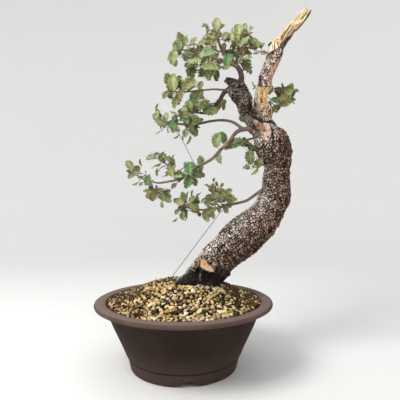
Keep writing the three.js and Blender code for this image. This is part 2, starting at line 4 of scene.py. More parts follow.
import bmesh
import bpy
import numpy as np
from mathutils import Matrix, Vector, noise


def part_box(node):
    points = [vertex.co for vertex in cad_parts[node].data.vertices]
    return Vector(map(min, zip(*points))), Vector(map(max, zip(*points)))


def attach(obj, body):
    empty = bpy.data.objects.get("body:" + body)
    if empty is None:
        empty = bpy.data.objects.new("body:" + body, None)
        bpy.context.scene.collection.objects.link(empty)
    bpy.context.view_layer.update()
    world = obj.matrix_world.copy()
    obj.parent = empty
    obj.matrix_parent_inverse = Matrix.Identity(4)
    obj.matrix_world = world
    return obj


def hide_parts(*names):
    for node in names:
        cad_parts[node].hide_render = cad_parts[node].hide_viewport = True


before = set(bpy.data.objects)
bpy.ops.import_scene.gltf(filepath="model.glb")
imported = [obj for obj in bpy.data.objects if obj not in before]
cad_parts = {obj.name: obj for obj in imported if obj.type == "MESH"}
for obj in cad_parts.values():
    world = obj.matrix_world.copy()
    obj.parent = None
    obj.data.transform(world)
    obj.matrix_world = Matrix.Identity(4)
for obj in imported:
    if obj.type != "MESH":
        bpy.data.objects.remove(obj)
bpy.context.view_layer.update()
pot_low, pot_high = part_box("pot")
AXIS = Vector(((pot_low.x + pot_high.x) / 2, (pot_low.y + pot_high.y) / 2, 0))
MM = 0.001


# Camera. It stands where the photograph was taken from, level with the middle of the tree, about half a
# metre in front of the pot. EYE is given in millimetres from the pot's axis at the foot of the pot.
EYE = Vector((20, -483, 199.1))
FOCAL_PIXELS = 383
HORIZON_SHIFT = 5
IMAGE_SIDE = 400

camera_data = bpy.data.cameras.new("camera")
camera_data.sensor_width = 36
camera_data.lens = camera_data.sensor_width * FOCAL_PIXELS / IMAGE_SIDE
camera_data.shift_y = HORIZON_SHIFT / IMAGE_SIDE
camera_data.clip_start = 0.01
camera_data.clip_end = 20
camera = bpy.data.objects.new("camera", camera_data)
camera.location = EYE * MM + AXIS
camera.rotation_euler = (math.radians(90), 0, 0)
bpy.context.scene.collection.objects.link(camera)
bpy.context.scene.camera = camera
bpy.context.scene.view_settings.view_transform = "Standard"


# Floor and light. The pot stands on a plain pale floor that curves up into a round pale wall, under one
# large soft light from the upper left, a weaker one from the right, and an even glow from above.
BACKDROP_PROFILE = [
    (0.01, -0.3), (900, -0.3), (1150, 25), (1330, 110), (1440, 260), (1480, 460), (1480, 1700),
]
GLOW_COLOUR = (0.955, 0.965, 0.985, 1)
GLOW_STRENGTH = 0.84
ROUND_STEPS = 96


def put(mesh, name, *materials):
    """Puts a finished mesh into the scene as an object at the origin."""
    piece = bpy.data.objects.new(name, mesh)
    bpy.context.scene.collection.objects.link(piece)
    for material in materials:
        mesh.materials.append(material)
    return piece


def paint(piece, material):
    """Gives a piece one material in place of any other."""
    piece.data.materials.clear()
    piece.data.materials.append(material)


def mesh_from(bm, name, smooth_under=180):
    """Closes a bmesh into a mesh whose edges are smooth where its faces meet under that angle."""
    mesh = bpy.data.meshes.new(name)
    bm.to_mesh(mesh)
    bm.free()
    return smoothed(mesh, smooth_under)


def smoothed(mesh, smooth_under):
    """A mesh whose edges are smooth where its faces meet under an angle in degrees."""
    mesh.shade_smooth()
    if smooth_under < 180:
        mesh.set_sharp_from_angle(angle=math.radians(smooth_under))
    return mesh


def turned(profile, steps, name, smooth_under=40, closed=True):
    """Turns a profile of (radius, height) in millimetres about the pot's axis."""
    bm = bmesh.new()
    points = [bm.verts.new(Vector((radius, 0, height)) * MM) for radius, height in profile]
    for here, there in zip(points, points[1:] + points[:1] if closed else points[1:]):
        bm.edges.new((here, there))
    bmesh.ops.spin(bm, geom=bm.verts[:] + bm.edges[:], cent=(0, 0, 0), axis=(0, 0, 1), angle=math.tau,
                   steps=steps, use_merge=True)
    bmesh.ops.remove_doubles(bm, verts=bm.verts, dist=1e-7)
    bmesh.ops.recalc_face_normals(bm, faces=bm.faces)
    bmesh.ops.translate(bm, verts=bm.verts, vec=AXIS)
    return mesh_from(bm, name, smooth_under)


def new_material(name, **sockets):
    """A material whose shader's plain sockets are set by name."""
    material = bpy.data.materials.new(name)
    material.use_nodes = True
    shader = material.node_tree.nodes["Principled BSDF"]
    for socket, value in sockets.items():
        shader.inputs[socket.replace("_", " ")].default_value = value
    return material, material.node_tree, shader


def colour(red, green, blue):
    """A shader colour from the 0 to 255 values that a picture shows."""
    def linear(value):
        value /= 255
        return value / 12.92 if value <= 0.04045 else ((value + 0.055) / 1.055) ** 2.4
    return (linear(red), linear(green), linear(blue), 1)


def soft_light(name, position, target, side, watts, tint):
    """A square soft light at a position, turned to a target, both in millimetres from the pot's axis."""
    data = bpy.data.lights.new(name, "AREA")
    data.shape = "SQUARE"
    data.size = side * MM
    data.energy = watts
    data.color = tint
    light = bpy.data.objects.new(name, data)
    light.location = Vector(position) * MM + AXIS
    aim = (Vector(target) - Vector(position)).to_track_quat("-Z", "Y")
    light.rotation_euler = aim.to_euler()
    bpy.context.scene.collection.objects.link(light)


paper = new_material("backdrop_paper", Base_Color=colour(232, 232, 231), Roughness=0.95)[0]
backdrop_mesh = turned(BACKDROP_PROFILE, ROUND_STEPS, "backdrop", 60, closed=False)
backdrop = put(backdrop_mesh, "backdrop", paper)
soft_light("key", (-620, -520, 980), (30, 0, 200), 520, 12.5, (1, 0.985, 0.96))
soft_light("fill", (900, -700, 520), (30, 0, 180), 700, 0.8, (0.96, 0.98, 1))
world = bpy.data.worlds.new("studio")
world.use_nodes = True
glow = world.node_tree.nodes["Background"]
glow.inputs["Color"].default_value = GLOW_COLOUR
glow.inputs["Strength"].default_value = GLOW_STRENGTH
bpy.context.scene.world = world


# Pot. Thrown and turned brown stoneware without glaze: a flared body over a groove and a foot ring, with a
# rolled lip and three low cut-outs in the foot. The dry clay shows fine grit and faint turning lines.
POT_PROFILE = [
    (56.6, 0), (65.2, 0), (66, 0.5), (67.5, 6), (68.9, 12.4), (68.8, 13.6), (67.9, 14.1), (67.8, 14.5),
    (69.4, 15.2), (70.8, 16.4), (72.2, 19.2), (76, 28.4), (81.3, 40), (87, 52.4), (91.4, 63),
    (94.2, 70.6), (97.2, 73.6), (102, 75.2), (107.4, 76), (109.4, 77.2), (110, 78.8), (109.4, 80.6),
    (107.4, 81.7), (103, 82), (98.5, 81.8), (96.4, 81), (95.2, 79), (89, 70), (60, 15), (11.8, 15),
    (11.5, 14.6), (11.5, 7.4), (11.8, 7), (55.4, 7), (56, 6.4), (56, 0.6),
]
ARCH_TURN = 6.5
ARCH_OUTLINE = [
    (-15.8, -1), (15.8, -1), (15, 0.5), (12.6, 1.5), (9.8, 2), (7.8, 2.9), (6.6, 4.6), (4.6, 5.9),
    (2, 6.4), (-2, 6.4), (-4.6, 5.9), (-6.6, 4.6), (-7.8, 2.9), (-9.8, 2), (-12.6, 1.5), (-15, 0.5),
]
ARCH_COUNT = 3
POT_STEPS = 180


def feed(tree, socket, value):
    """Links a socket from another one, or from the numbers that the mesh keeps under a name, or sets it."""
    if isinstance(value, str):
        value = add(tree, "Attribute", {"attribute_name": value}).outputs["Fac"]
    if isinstance(value, bpy.types.NodeSocket):
        tree.links.new(value, socket)
    else:
        socket.default_value = value


def add(tree, kind, settings=None, **inputs):
    """A node in a tree, with its settings and its inputs."""
    node = tree.nodes.new("ShaderNode" + kind)
    for name, value in (settings or {}).items():
        setattr(node, name, value)
    for name, value in inputs.items():
        feed(tree, node.inputs[name.replace("_", " ")], value)
    return node


def mix(tree, share, first, second):
    """A colour between two colours, each a socket or red, green and blue as a picture shows them."""
    node = tree.nodes.new("ShaderNodeMix")
    node.data_type = "RGBA"
    feed(tree, node.inputs[0], share)
    for index, tone in ((6, first), (7, second)):
        feed(tree, node.inputs[index], colour(*tone) if isinstance(tone, tuple) else tone)
    return node.outputs[2]


def ramp(tree, value, low, high):
    """A value carried from the range low to high into the range 0 to 1, with a soft start and end."""
    node = add(tree, "MapRange", {"interpolation_type": "SMOOTHSTEP"}, Value=value, From_Min=low,
               From_Max=high)
    return node.outputs["Result"]


def times(tree, first, second, how="MULTIPLY"):
    """Two values multiplied, or put together in another way."""
    node = add(tree, "Math", {"operation": how})
    feed(tree, node.inputs[0], first)
    feed(tree, node.inputs[1], second)
    return node.outputs[0]


def coats(tree, tone, *layers):
    """A colour under layers, each a share, how strongly it is laid on, and the layer's colour."""
    for share, strength, layer in layers:
        tone = mix(tree, times(tree, share, strength), tone, layer)
    return tone


def new_group(name, inputs, outputs):
    """A shader node group with named value inputs, and value outputs still to be fed."""
    group = bpy.data.node_groups.new(name, "ShaderNodeTree")
    for label, value in inputs.items():
        kind = "NodeSocketVector" if value is None else "NodeSocketFloat"
        socket = group.interface.new_socket(label, in_out="INPUT", socket_type=kind)
        if value is not None:
            socket.default_value = value
    for label in outputs:
        group.interface.new_socket(label, in_out="OUTPUT", socket_type="NodeSocketFloat")
    return group, group.nodes.new("NodeGroupInput").outputs, group.nodes.new("NodeGroupOutput").inputs


def place_group(tree, group, **inputs):
    """The outputs of a group placed in a material with its own values."""
    return add(tree, "Group", {"node_tree": group}, **inputs).outputs


# mottle: cloudy patches, small specks, and a fine grit for bump, all of a natural dry surface
mottle, given, made = new_group(
    "mottle", {"Place": None, "Patch Scale": 40.0, "Grit Scale": 900.0}, ["Patches", "Specks", "Grit"])
patch_noise = add(mottle, "TexNoise", Vector=given["Place"], Scale=given["Patch Scale"], Detail=4.0,
                  Roughness=0.6).outputs[0]
grit_noise = add(mottle, "TexNoise", Vector=given["Place"], Scale=given["Grit Scale"], Detail=2.0,
                 Roughness=0.55).outputs[0]
feed(mottle, made["Patches"], ramp(mottle, patch_noise, 0.35, 0.65))
feed(mottle, made["Specks"], ramp(mottle, grit_noise, 0.62, 0.72))
feed(mottle, made["Grit"], grit_noise)


def dry_material(name, patch_scale, grit_scale, **sockets):
    """A material of a natural dry surface, with its tree, its shader and the outputs of its mottle."""
    material, tree, shader = new_material(name, **sockets)
    place = add(tree, "TexCoord").outputs["Object"]
    dry = place_group(tree, mottle, Place=place, Patch_Scale=patch_scale, Grit_Scale=grit_scale)
    return material, tree, shader, dry


def bump(tree, shader, height, strength, distance):
    """Gives a shader a relief."""
    relief = add(tree, "Bump", Height=height, Strength=strength, Distance=distance * MM)
    feed(tree, shader.inputs["Normal"], relief.outputs["Normal"])


def mottled(name, scales, low, high, relief=None, specks=None, **sockets):
    """A dry material blotched between two tones, and where they are given, with a fine relief and specks."""
    material, tree, shader, dry = dry_material(name, *scales, **sockets)
    tone = mix(tree, dry["Patches"], low, high)
    if specks:
        tone = mix(tree, dry["Specks"], tone, specks)
    feed(tree, shader.inputs["Base Color"], tone)
    if relief:
        bump(tree, shader, dry["Grit"], *relief)
    return material


def baked(piece):
    """Gives a piece the mesh that its modifiers make of it."""
    shaped = piece.evaluated_get(bpy.context.evaluated_depsgraph_get())
    mesh = bpy.data.meshes.new_from_object(shaped)
    piece.modifiers.clear()
    piece.data = mesh


def cut_away(piece, cutter):
    """Takes one solid out of another."""
    cut = piece.modifiers.new("cut", "BOOLEAN")
    cut.object = cutter
    cut.solver = "EXACT"
    baked(piece)
    bpy.data.objects.remove(cutter)


pot = put(turned(POT_PROFILE, POT_STEPS, "pot_body"), "pot_body")
for number in range(ARCH_COUNT):
    bm = bmesh.new()
    corners = [bm.verts.new(Vector((x, -90, z)) * MM) for x, z in ARCH_OUTLINE]
    front = bm.faces.new(corners)
    deep = bmesh.ops.extrude_face_region(bm, geom=[front])["geom"]
    bmesh.ops.translate(bm, verts=[v for v in deep if isinstance(v, bmesh.types.BMVert)], vec=(0, 0.045, 0))
    bmesh.ops.recalc_face_normals(bm, faces=bm.faces)
    turn = Matrix.Rotation(math.radians(ARCH_TURN + 360 / ARCH_COUNT * number), 3, "Z")
    bmesh.ops.rotate(bm, verts=bm.verts, matrix=turn)
    bmesh.ops.translate(bm, verts=bm.verts, vec=AXIS)
    cut_away(pot, put(mesh_from(bm, "cutter"), "cutter"))
smoothed(pot.data, 38)

clay, tree, shader, dry = dry_material("stoneware", 22.0, 1500.0, Roughness=0.8, Specular_IOR_Level=0.2)
place = add(tree, "TexCoord").outputs["Object"]
height = add(tree, "SeparateXYZ", Vector=place).outputs["Z"]
# The body's dark brown is the clay's own colour, darkened further as painted shade.
body_tone = mix(tree, dry["Patches"], (34, 21, 15), (44, 30, 23))
body_tone = mix(tree, dry["Specks"], body_tone, (66, 49, 40))
# Painted light: the rim is lighter, its upper face most of all, and near the foot the body is lighter with
# painted light thrown back up onto it.
rim_tone = mix(tree, dry["Patches"], (90, 73, 66), (78, 63, 56))
rim_tone = mix(tree, ramp(tree, height, 0.0808, 0.0816), rim_tone, (111, 95, 87))
above = ramp(tree, height, 0.0728, 0.0765)
below = ramp(tree, height, 0.046, 0.008)
pale = times(tree, above, times(tree, below, 0.52), "MAXIMUM")
stretched = add(tree, "Mapping", Vector=place, Scale=(6, 6, 420)).outputs[0]
turning = add(tree, "TexNoise", Scale=1.0, Detail=3.0, Vector=stretched).outputs[0]
relief = times(tree, dry["Grit"], times(tree, turning, 0.6), "ADD")
feed(tree, shader.inputs["Base Color"], mix(tree, pale, body_tone, rim_tone))
bump(tree, shader, relief, 0.35, 0.5)
paint(pot, clay)
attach(pot, "root")
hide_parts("pot")


# Drainage net and its clip, under the soil. The net is punched dark plastic and the clip is soft aluminium
# wire whose legs go down through the hole in the floor. Both are seen only from below.
net_plastic = mottled("net_plastic", (90.0, 1200.0), (30, 38, 33), (44, 52, 45), (0.2, 0.2), Roughness=0.5)


def wire_material(name, low, high):
    """Drawn aluminium wire with a dull oxide skin, blotched between two tones."""
    return mottled(name, (160.0, 2500.0), low, high, (0.15, 0.1), Metallic=1.0, Roughness=0.42)


dull_wire = wire_material("dull_aluminium", (150, 150, 150), (186, 186, 188))
grey_wire = wire_material("grey_aluminium", (84, 87, 90), (116, 119, 122))
paint(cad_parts["drainage_mesh"], net_plastic)
paint(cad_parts["mesh_clip"], dull_wire)


# Guy wires and anchor wire. Thin aluminium wire: one guy pulls the lowest branch down to the soil, one
# pulls two branches together, and the thicker anchor wire comes up through the soil over the trunk's foot.
GUY_RADIUS = 0.4
ANCHOR_RADIUS = 0.8
WRAP_TURNS = 1.5
WRAP_PITCH = 1.6
ANCHOR = [
    (-4.5, -4.6, 5.2), (-4.5, -4.6, 20), (0, -16, 50), (6, -24, 84), (9, -26, 98), (15, -27, 102),
    (20, -27.5, 104), (25, -27.5, 102), (28.5, -26.5, 96), (28, -24, 84), (16, -14, 50),
    (4.5, -4.6, 20), (4.5, -4.6, 5.2), (0, -4.6, 3.9),
]
LOW_HOLD = [(53, -9, 198, 1.8), (65, -6, 201, 1.8)]
MID_HOLD = [(-14, 20, 303, 1.4), (-22, 21, 304, 1.3)]
DOWN_HOLD = [(15, -31, 246, 1.9), (26, -29, 252, 2)]
SOIL_END = [(-21, -6, 92), (-18, -6, 105)]
WRAP_STEPS = 18


def nearness(depth):
    """How much wider a thing is than it shows on the upright plane through the pot's axis, where it lies
    depth behind that plane in millimetres."""
    return (depth - EYE.y) / -EYE.y


def from_sight(x, depth, height):
    """The place in metres of a point that shows at x and height on the upright plane through the pot's
    axis, and really lies depth behind that plane, all in millimetres."""
    return EYE.lerp(Vector((x, 0, height)), nearness(depth)) * MM + AXIS


def smooth_line(points, step):
    """Points on one smooth curve through hand-set points, about a step apart."""
    points = np.array(points, float)
    ends = np.vstack([2 * points[0] - points[1], points, 2 * points[-1] - points[-2]])
    line = []
    for a, b, c, d in zip(ends, ends[1:], ends[2:], ends[3:]):
        count = max(1, round(np.linalg.norm((c - b)[:3]) / step))
        for t in np.arange(count) / count:
            line.append(0.5 * (2 * b + (c - a) * t + (2 * a - 5 * b + 4 * c - d) * t * t
                               + (3 * b - a - 3 * c + d) * t ** 3))
    return np.array(line + [points[-1]])


def rods(lines, name, sides=8):
    """Round closed rods in one mesh: each line is an array of x, y, z and radius in metres."""
    curve = bpy.data.curves.new(name, "CURVE")
    curve.dimensions = "3D"
    curve.bevel_depth = 1
    curve.bevel_resolution = max(0, sides // 2 - 2)
    curve.use_fill_caps = True
    for line in lines:
        spline = curve.splines.new("POLY")
        spline.points.add(len(line) - 1)
        spline.points.foreach_set("co", np.column_stack([line[:, :3], np.ones(len(line))]).ravel())
        spline.points.foreach_set("radius", line[:, 3])
    rod = bpy.data.objects.new(name, curve)
    bpy.context.scene.collection.objects.link(rod)
    mesh = bpy.data.meshes.new_from_object(rod.evaluated_get(bpy.context.evaluated_depsgraph_get()))
    bpy.data.objects.remove(rod)
    return smoothed(mesh, 180)


def seen_line(points, step=2.0):
    """A smooth line of x, y, z and radius in metres through points of x, depth, height and radius."""
    real = [[*from_sight(*point[:3]), point[3] * nearness(point[1]) * MM] for point in points]
    return smooth_line(real, step * MM)


def wrap(start, hold):
    """The end of a guy wire: its turns round a branch, begun on the side towards start."""
    (x, depth, height, radius), following = hold
    centre = from_sight(x, depth, height)
    along = (from_sight(*following[:3]) - centre).normalized()
    pull = centre - start
    pull = (pull - along * pull.dot(along)).normalized()
    out = pull.cross(along)
    reach = (radius * nearness(depth) + GUY_RADIUS) * MM
    turns = []
    for step in range(round(WRAP_TURNS * WRAP_STEPS) + 1):
        angle = step / WRAP_STEPS * math.tau
        turn = centre + along * (step / WRAP_STEPS * WRAP_PITCH * MM)
        turns.append(turn + out * reach * math.cos(angle) + pull * reach * math.sin(angle))
    return turns


def wire_piece(name, points, radius, sides, material):
    """A wire that stands for the CAD node of its name."""
    line = np.array([[*point, radius * MM] for point in points])
    piece = put(rods([line], name + "_drawn", sides), name + "_drawn", material)
    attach(piece, "root")
    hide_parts(name)


soil_end = [from_sight(*point) for point in SOIL_END]
wire_piece("guy_wire_lower", soil_end + wrap(soil_end[1], LOW_HOLD), GUY_RADIUS, 8, grey_wire)
upper_start = wrap(from_sight(*DOWN_HOLD[0][:3]), MID_HOLD)[::-1]
upper_end = wrap(from_sight(*MID_HOLD[0][:3]), DOWN_HOLD)
wire_piece("guy_wire_upper", upper_start + upper_end, GUY_RADIUS, 8, grey_wire)
anchor_line = smooth_line([[*(Vector(point) * MM + AXIS), 0] for point in ANCHOR], 3 * MM)
wire_piece("anchor_wire", anchor_line[:, :3], ANCHOR_RADIUS, 10, dull_wire)


# Soil. A gritty mix of crushed pale and red clay, pumice and darker humus in grains of about 3 to 7 mm,
# level with the rim and heaped round the trunk. A bed of dark fines lies under the loose grains, made darker
# still as painted shade in the gaps between them.
SOIL_EDGE_RADIUS = 94.5
SOIL_EDGE_HEIGHT = 79.6
MOUND_X, MOUND_Y, MOUND_RADIUS, MOUND_HEIGHT = 4, 12, 72, 21
FINE_SHAPES = 8
CHIP_SHAPES = 14
FINE_COUNT = 3600
CHIP_TRIES = 12000
CHIP_SPACING = 0.86
LANDMARK_CHIPS = [
    (34.8, 102, 1.2, 2, "white"), (48.9, 88.5, 1.6, 4.8, "white"), (47.7, 96.9, 1, 2.1, "cream"),
    (19.6, 64.2, 1.2, 3.8, "cream"), (50.3, 62.9, 1.2, 3.8, "cream"), (52.8, 57.9, 1, 3.4, "buff"),
    (8, 94, 1.2, 3, "cream"), (12.5, 87, 1.2, 3.2, "straw"),
]
DRY_ROOTS = [
    [(26.7, 73.5, 1.6, 1.1), (34, 80, 2.6, 1.2), (42.2, 86.2, 1.8, 1)],
    [(-5, 94.5, 0.6, 0.5), (-1, 97, 1.6, 0.6), (3, 94.5, 0.8, 0.5)],
    [(-43, 99, 0, 0.35), (-45.5, 99, 7, 0.25)],
    [(-37, 100, 0, 0.35), (-35.5, 100, 8, 0.25)],
    [(-33, 100, 0, 0.4), (-39, 99, 4, 0.35), (-43, 99, 4.6, 0.25)],
    [(-26, 100, 0, 0.4), (-29, 100, 5, 0.3)],
]
ROOT_TONE = (206, 184, 146)
GRAIN_TONES = {
    "white": (240, 230, 204), "cream": (230, 208, 156), "buff": (202, 168, 116), "straw": (206, 190, 126),
    "blush": (214, 178, 144), "ochre": (166, 120, 66), "rust": (106, 64, 40), "umber": (72, 50, 37),
    "humus": (36, 26, 21), "moss": (98, 100, 54),
}
PALE_MIX = {
    "white": 8, "cream": 34, "buff": 20, "straw": 18, "blush": 5, "ochre": 7, "umber": 8, "humus": 6,
    "moss": 3,
}
RED_MIX = {
    "cream": 12, "buff": 16, "straw": 12, "blush": 5, "ochre": 14, "rust": 16, "umber": 18, "humus": 14,
}
DARK_MIX = {"cream": 12, "buff": 9, "straw": 7, "blush": 3, "rust": 16, "umber": 22, "humus": 34, "moss": 6}
FINE_MIX = {"buff": 2, "straw": 2, "ochre": 4, "rust": 18, "umber": 34, "humus": 54, "moss": 5}
BED_RINGS = 26
BED_FLOOR = [(0.02, 50), (80, 50), (92, 74)]


def ranged(value, low, high):
    """A value carried from low to high into 0 to 1."""
    return min(1, max(0, (value - low) / (high - low)))


def soil_height(x, y):
    """Height of the soil in millimetres at a place measured from the pot's axis."""
    reach = math.hypot(x - MOUND_X, y - MOUND_Y) / MOUND_RADIUS
    bank = 1 - min(1, math.hypot(x, y) / SOIL_EDGE_RADIUS) ** 8
    return SOIL_EDGE_HEIGHT + MOUND_HEIGHT * bank * math.exp(-(reach ** 4))


def paleness(x, y):
    """How thick the pale chips lie at a place: most at the front and middle, least at the back and right."""
    drift = 12 * noise.noise(Vector((x, y, 3)) / 24)
    right = ranged(x + 0.3 * y + drift, 34, 54)
    back = ranged(y - 0.35 * x + drift, -2, 20)
    left = ranged(drift - x - 0.2 * y, 40, 60)
    return 1 - max(right, back, 0.85 * left)


def read_values(items, what, width=1, kind=float):
    """One number, or a few, for each item of a mesh, as an array."""
    flat = np.empty(len(items) * width, kind)
    items.foreach_get(what, flat)
    return flat.reshape(-1, width) if width > 1 else flat


def keep_values(mesh, **values):
    """Keeps numbers or colours for the points of a mesh under names that a material reads."""
    for label, each in values.items():
        each = np.ascontiguousarray(each, np.float32)
        kind, field = ("FLOAT", "value") if each.ndim == 1 else ("FLOAT_COLOR", "color")
        mesh.attributes.new(label, kind, "POINT").data.foreach_set(field, each.ravel())


def copied(template, places, name, tones):
    """One mesh made of a small mesh set down many times. Each copy has a 4 by 4 matrix and a tone."""
    count, copies = len(template.vertices), len(places)
    corners = np.column_stack([read_values(template.vertices, "co", 3), np.ones(count)])
    matrices = np.array([np.array(place) for place in places])
    spots = np.einsum("nij,vj->nvi", matrices, corners)[:, :, :3].reshape(-1, 3)
    loops = read_values(template.loops, "vertex_index", kind=int)
    sizes = np.tile(read_values(template.polygons, "loop_total", kind=int), copies)
    looks = np.tile(read_values(template.polygons, "material_index", kind=int), copies)
    mesh = bpy.data.meshes.new(name)
    mesh.vertices.add(len(spots))
    mesh.vertices.foreach_set("co", spots.ravel())
    mesh.loops.add(len(loops) * copies)
    mesh.loops.foreach_set("vertex_index", (loops + np.arange(copies)[:, None] * count).ravel())
    mesh.polygons.add(len(sizes))
    mesh.polygons.foreach_set("loop_start", np.cumsum(sizes) - sizes)
    mesh.polygons.foreach_set("material_index", looks)
    mesh.update(calc_edges=True)
    keep_values(mesh, tone=np.repeat(np.array(tones, float), count, axis=0))
    if template.uv_layers:
        blade = read_values(template.uv_layers[0].data, "uv", 2)
        mesh.uv_layers.new(name="blade").data.foreach_set("uv", np.tile(blade.ravel(), copies))
    return mesh


def joined(meshes, name):
    """Several meshes as one, with their attributes and materials kept."""
    pieces = [bpy.data.objects.new(mesh.name, mesh) for mesh in meshes]
    for piece in pieces:
        bpy.context.scene.collection.objects.link(piece)
    with bpy.context.temp_override(active_object=pieces[0], selected_editable_objects=pieces):
        bpy.ops.object.join()
    whole = pieces[0].data
    bpy.data.objects.remove(pieces[0])
    whole.name = name
    return whole


random.seed(11)
grain_meshes = []
for number in range(FINE_SHAPES + CHIP_SHAPES):
    bm = bmesh.new()
    if number < FINE_SHAPES:
        bmesh.ops.create_icosphere(bm, subdivisions=1, radius=1)
        for corner in bm.verts:
            corner.co *= random.uniform(0.7, 1.2)
    else:
        for _ in range(16):
            corner = Vector([random.gauss(0, 1) for _ in range(3)]).normalized()
            bm.verts.new((1.12 * corner.x, 0.9 * corner.y, 0.72 * corner.z))
        hull = bmesh.ops.convex_hull(bm, input=bm.verts)
        bmesh.ops.delete(bm, geom=hull["geom_interior"], context="VERTS")
    grain_meshes.append(mesh_from(bm, f"grain_{number}"))

grain_places = [[] for _ in grain_meshes]
grain_tones = [[] for _ in grain_meshes]


def dimmed(tone, light):
    """A shader colour whose light is scaled."""
    return [*(channel * light for channel in colour(*tone)[:3]), 1]


def soil_spot():
    """A random place on the soil, and how pale the mix is there."""
    reach = 93.4 * math.sqrt(random.random())
    angle = random.uniform(0, math.tau)
    x, y = reach * math.cos(angle), reach * math.sin(angle)
    return x, y, paleness(x, y)


def lay_grain(shape, x, y, lift, size, mixture):
    """Lays one grain of a shape and size on the soil, tilted at random, in a tone from a mixture."""
    spin = Matrix.Rotation(random.uniform(0, math.tau), 4, "Z")
    tilt = Matrix.Rotation(random.gauss(0, 0.5), 4, "X") @ Matrix.Rotation(random.gauss(0, 0.5), 4, "Y")
    stretch = [random.uniform(*limits) for limits in ((0.85, 1.3), (0.8, 1.15), (0.75, 1.2))]
    spot = Matrix.Translation(Vector((x, y, soil_height(x, y) + lift)) * MM + AXIS)
    turn = spot @ tilt @ spin @ Matrix.Diagonal((*stretch, 1))
    grain_places[shape].append(turn @ Matrix.Scale(size * MM, 4))
    name = random.choices(list(mixture), list(mixture.values()))[0]
    # a grain's tone differs at random, and grains towards the back left are dimmed as painted shade
    light = random.uniform(0.7, 1.22) * (1 - 0.2 * ranged(y - x / 2, 15, 35))
    grain_tones[shape].append(dimmed(GRAIN_TONES[name], light))


for number in range(FINE_COUNT):
    x, y, pale = soil_spot()
    lay_grain(number % FINE_SHAPES, x, y, random.uniform(-1.4, 0.1), random.uniform(0.8, 1.6), FINE_MIX)

chips = []
for number in range(CHIP_TRIES):
    x, y, pale = soil_spot()
    bigness = (1 - number / CHIP_TRIES) ** 2
    chips.append((x, y, random.uniform(1.15, 1.75) + (0.5 + 1.1 * pale) * bigness, pale))
laid = np.empty((0, 3))
for number, (x, y, size, pale) in enumerate(chips):
    gaps = np.hypot(laid[:, 0] - x, laid[:, 1] - y) - CHIP_SPACING * (laid[:, 2] + size)
    if len(laid) and gaps.min() < 0:
        continue
    laid = np.vstack([laid, (x, y, size)])
    # to the right and at the back darker grains are laid: darker soil there, deepened as painted shade
    shady = x > 20 or random.random() < (y + 25) / 30
    mixture = PALE_MIX if pale > random.uniform(0.3, 0.7) else (DARK_MIX if shady else RED_MIX)
    lift = random.uniform(-0.3, 0.8) + 0.1 * size
    lay_grain(FINE_SHAPES + number % CHIP_SHAPES, x, y, lift, size, mixture)


def soil_under(x, height):
    """The place on the soil that shows at x and height, in millimetres from the pot's axis."""
    depth = 0
    for _ in range(40):
        across = EYE.x + (x - EYE.x) * nearness(depth)
        below_eye = (soil_height(across, depth) - EYE.z) / (height - EYE.z)
        depth += 0.5 * ((below_eye - 1) * -EYE.y - depth)
    return across, depth


for x, height, lift, size, tone in LANDMARK_CHIPS:
    across, depth = soil_under(x, height)
    lay_grain(FINE_SHAPES + 3, across, depth, lift, size, {tone: 1})
root_lines = []
for points in DRY_ROOTS:
    line = []
    for x, height, lift, radius in points:
        across, depth = soil_under(x, height)
        spot = Vector((across, depth, soil_height(across, depth) + lift)) * MM + AXIS
        line.append([*spot, radius * MM])
    root_lines.append(smooth_line(line, 1.5 * MM))
root_mesh = rods(root_lines, "dry_roots", 6)
keep_values(root_mesh, tone=np.tile(colour(*ROOT_TONE), (len(root_mesh.vertices), 1)))
loose = [copied(template, places, "loose", tones)
         for template, places, tones in zip(grain_meshes, grain_places, grain_tones)]

grit, tree, shader, dry = dry_material("soil_grit", 420.0, 2200.0, Roughness=0.9, Specular_IOR_Level=0.25)
tone = add(tree, "Attribute", {"attribute_name": "tone"}).outputs["Color"]
tone = coats(tree, tone, (dry["Patches"], 0.2, (178, 158, 118)), (dry["Specks"], 0.4, (70, 54, 42)))
feed(tree, shader.inputs["Base Color"], tone)
bump(tree, shader, dry["Grit"], 0.6, 0.5)
grains = put(smoothed(joined([*loose, root_mesh], "soil_grains"), 44), "soil_grains", grit)

bed_top = [(max(0.02, SOIL_EDGE_RADIUS * step / BED_RINGS), SOIL_EDGE_HEIGHT - 1.2)
           for step in range(BED_RINGS, -1, -1)]
bed_mesh = turned(BED_FLOOR + bed_top, ROUND_STEPS, "soil_bed", 180, closed=False)
for corner in bed_mesh.vertices:
    if corner.co.z > 0.078:
        x, y = (corner.co.x - AXIS.x) / MM, (corner.co.y - AXIS.y) / MM
        corner.co.z = (soil_height(x, y) - 1.6 + 0.8 * noise.noise(Vector((x, y, 0)) / 4)) * MM
# the fines are near black: dark humus, made darker still as painted shade between the grains
fines = mottled("soil_fines", (120.0, 900.0), (16, 12, 10), (32, 23, 17), (0.8, 1.0), (70, 52, 36),
                Roughness=1.0, Specular_IOR_Level=0.15)
bed = put(bed_mesh, "soil_bed", fines)
for piece in (grains, bed):
    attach(piece, "root")
    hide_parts("soil")


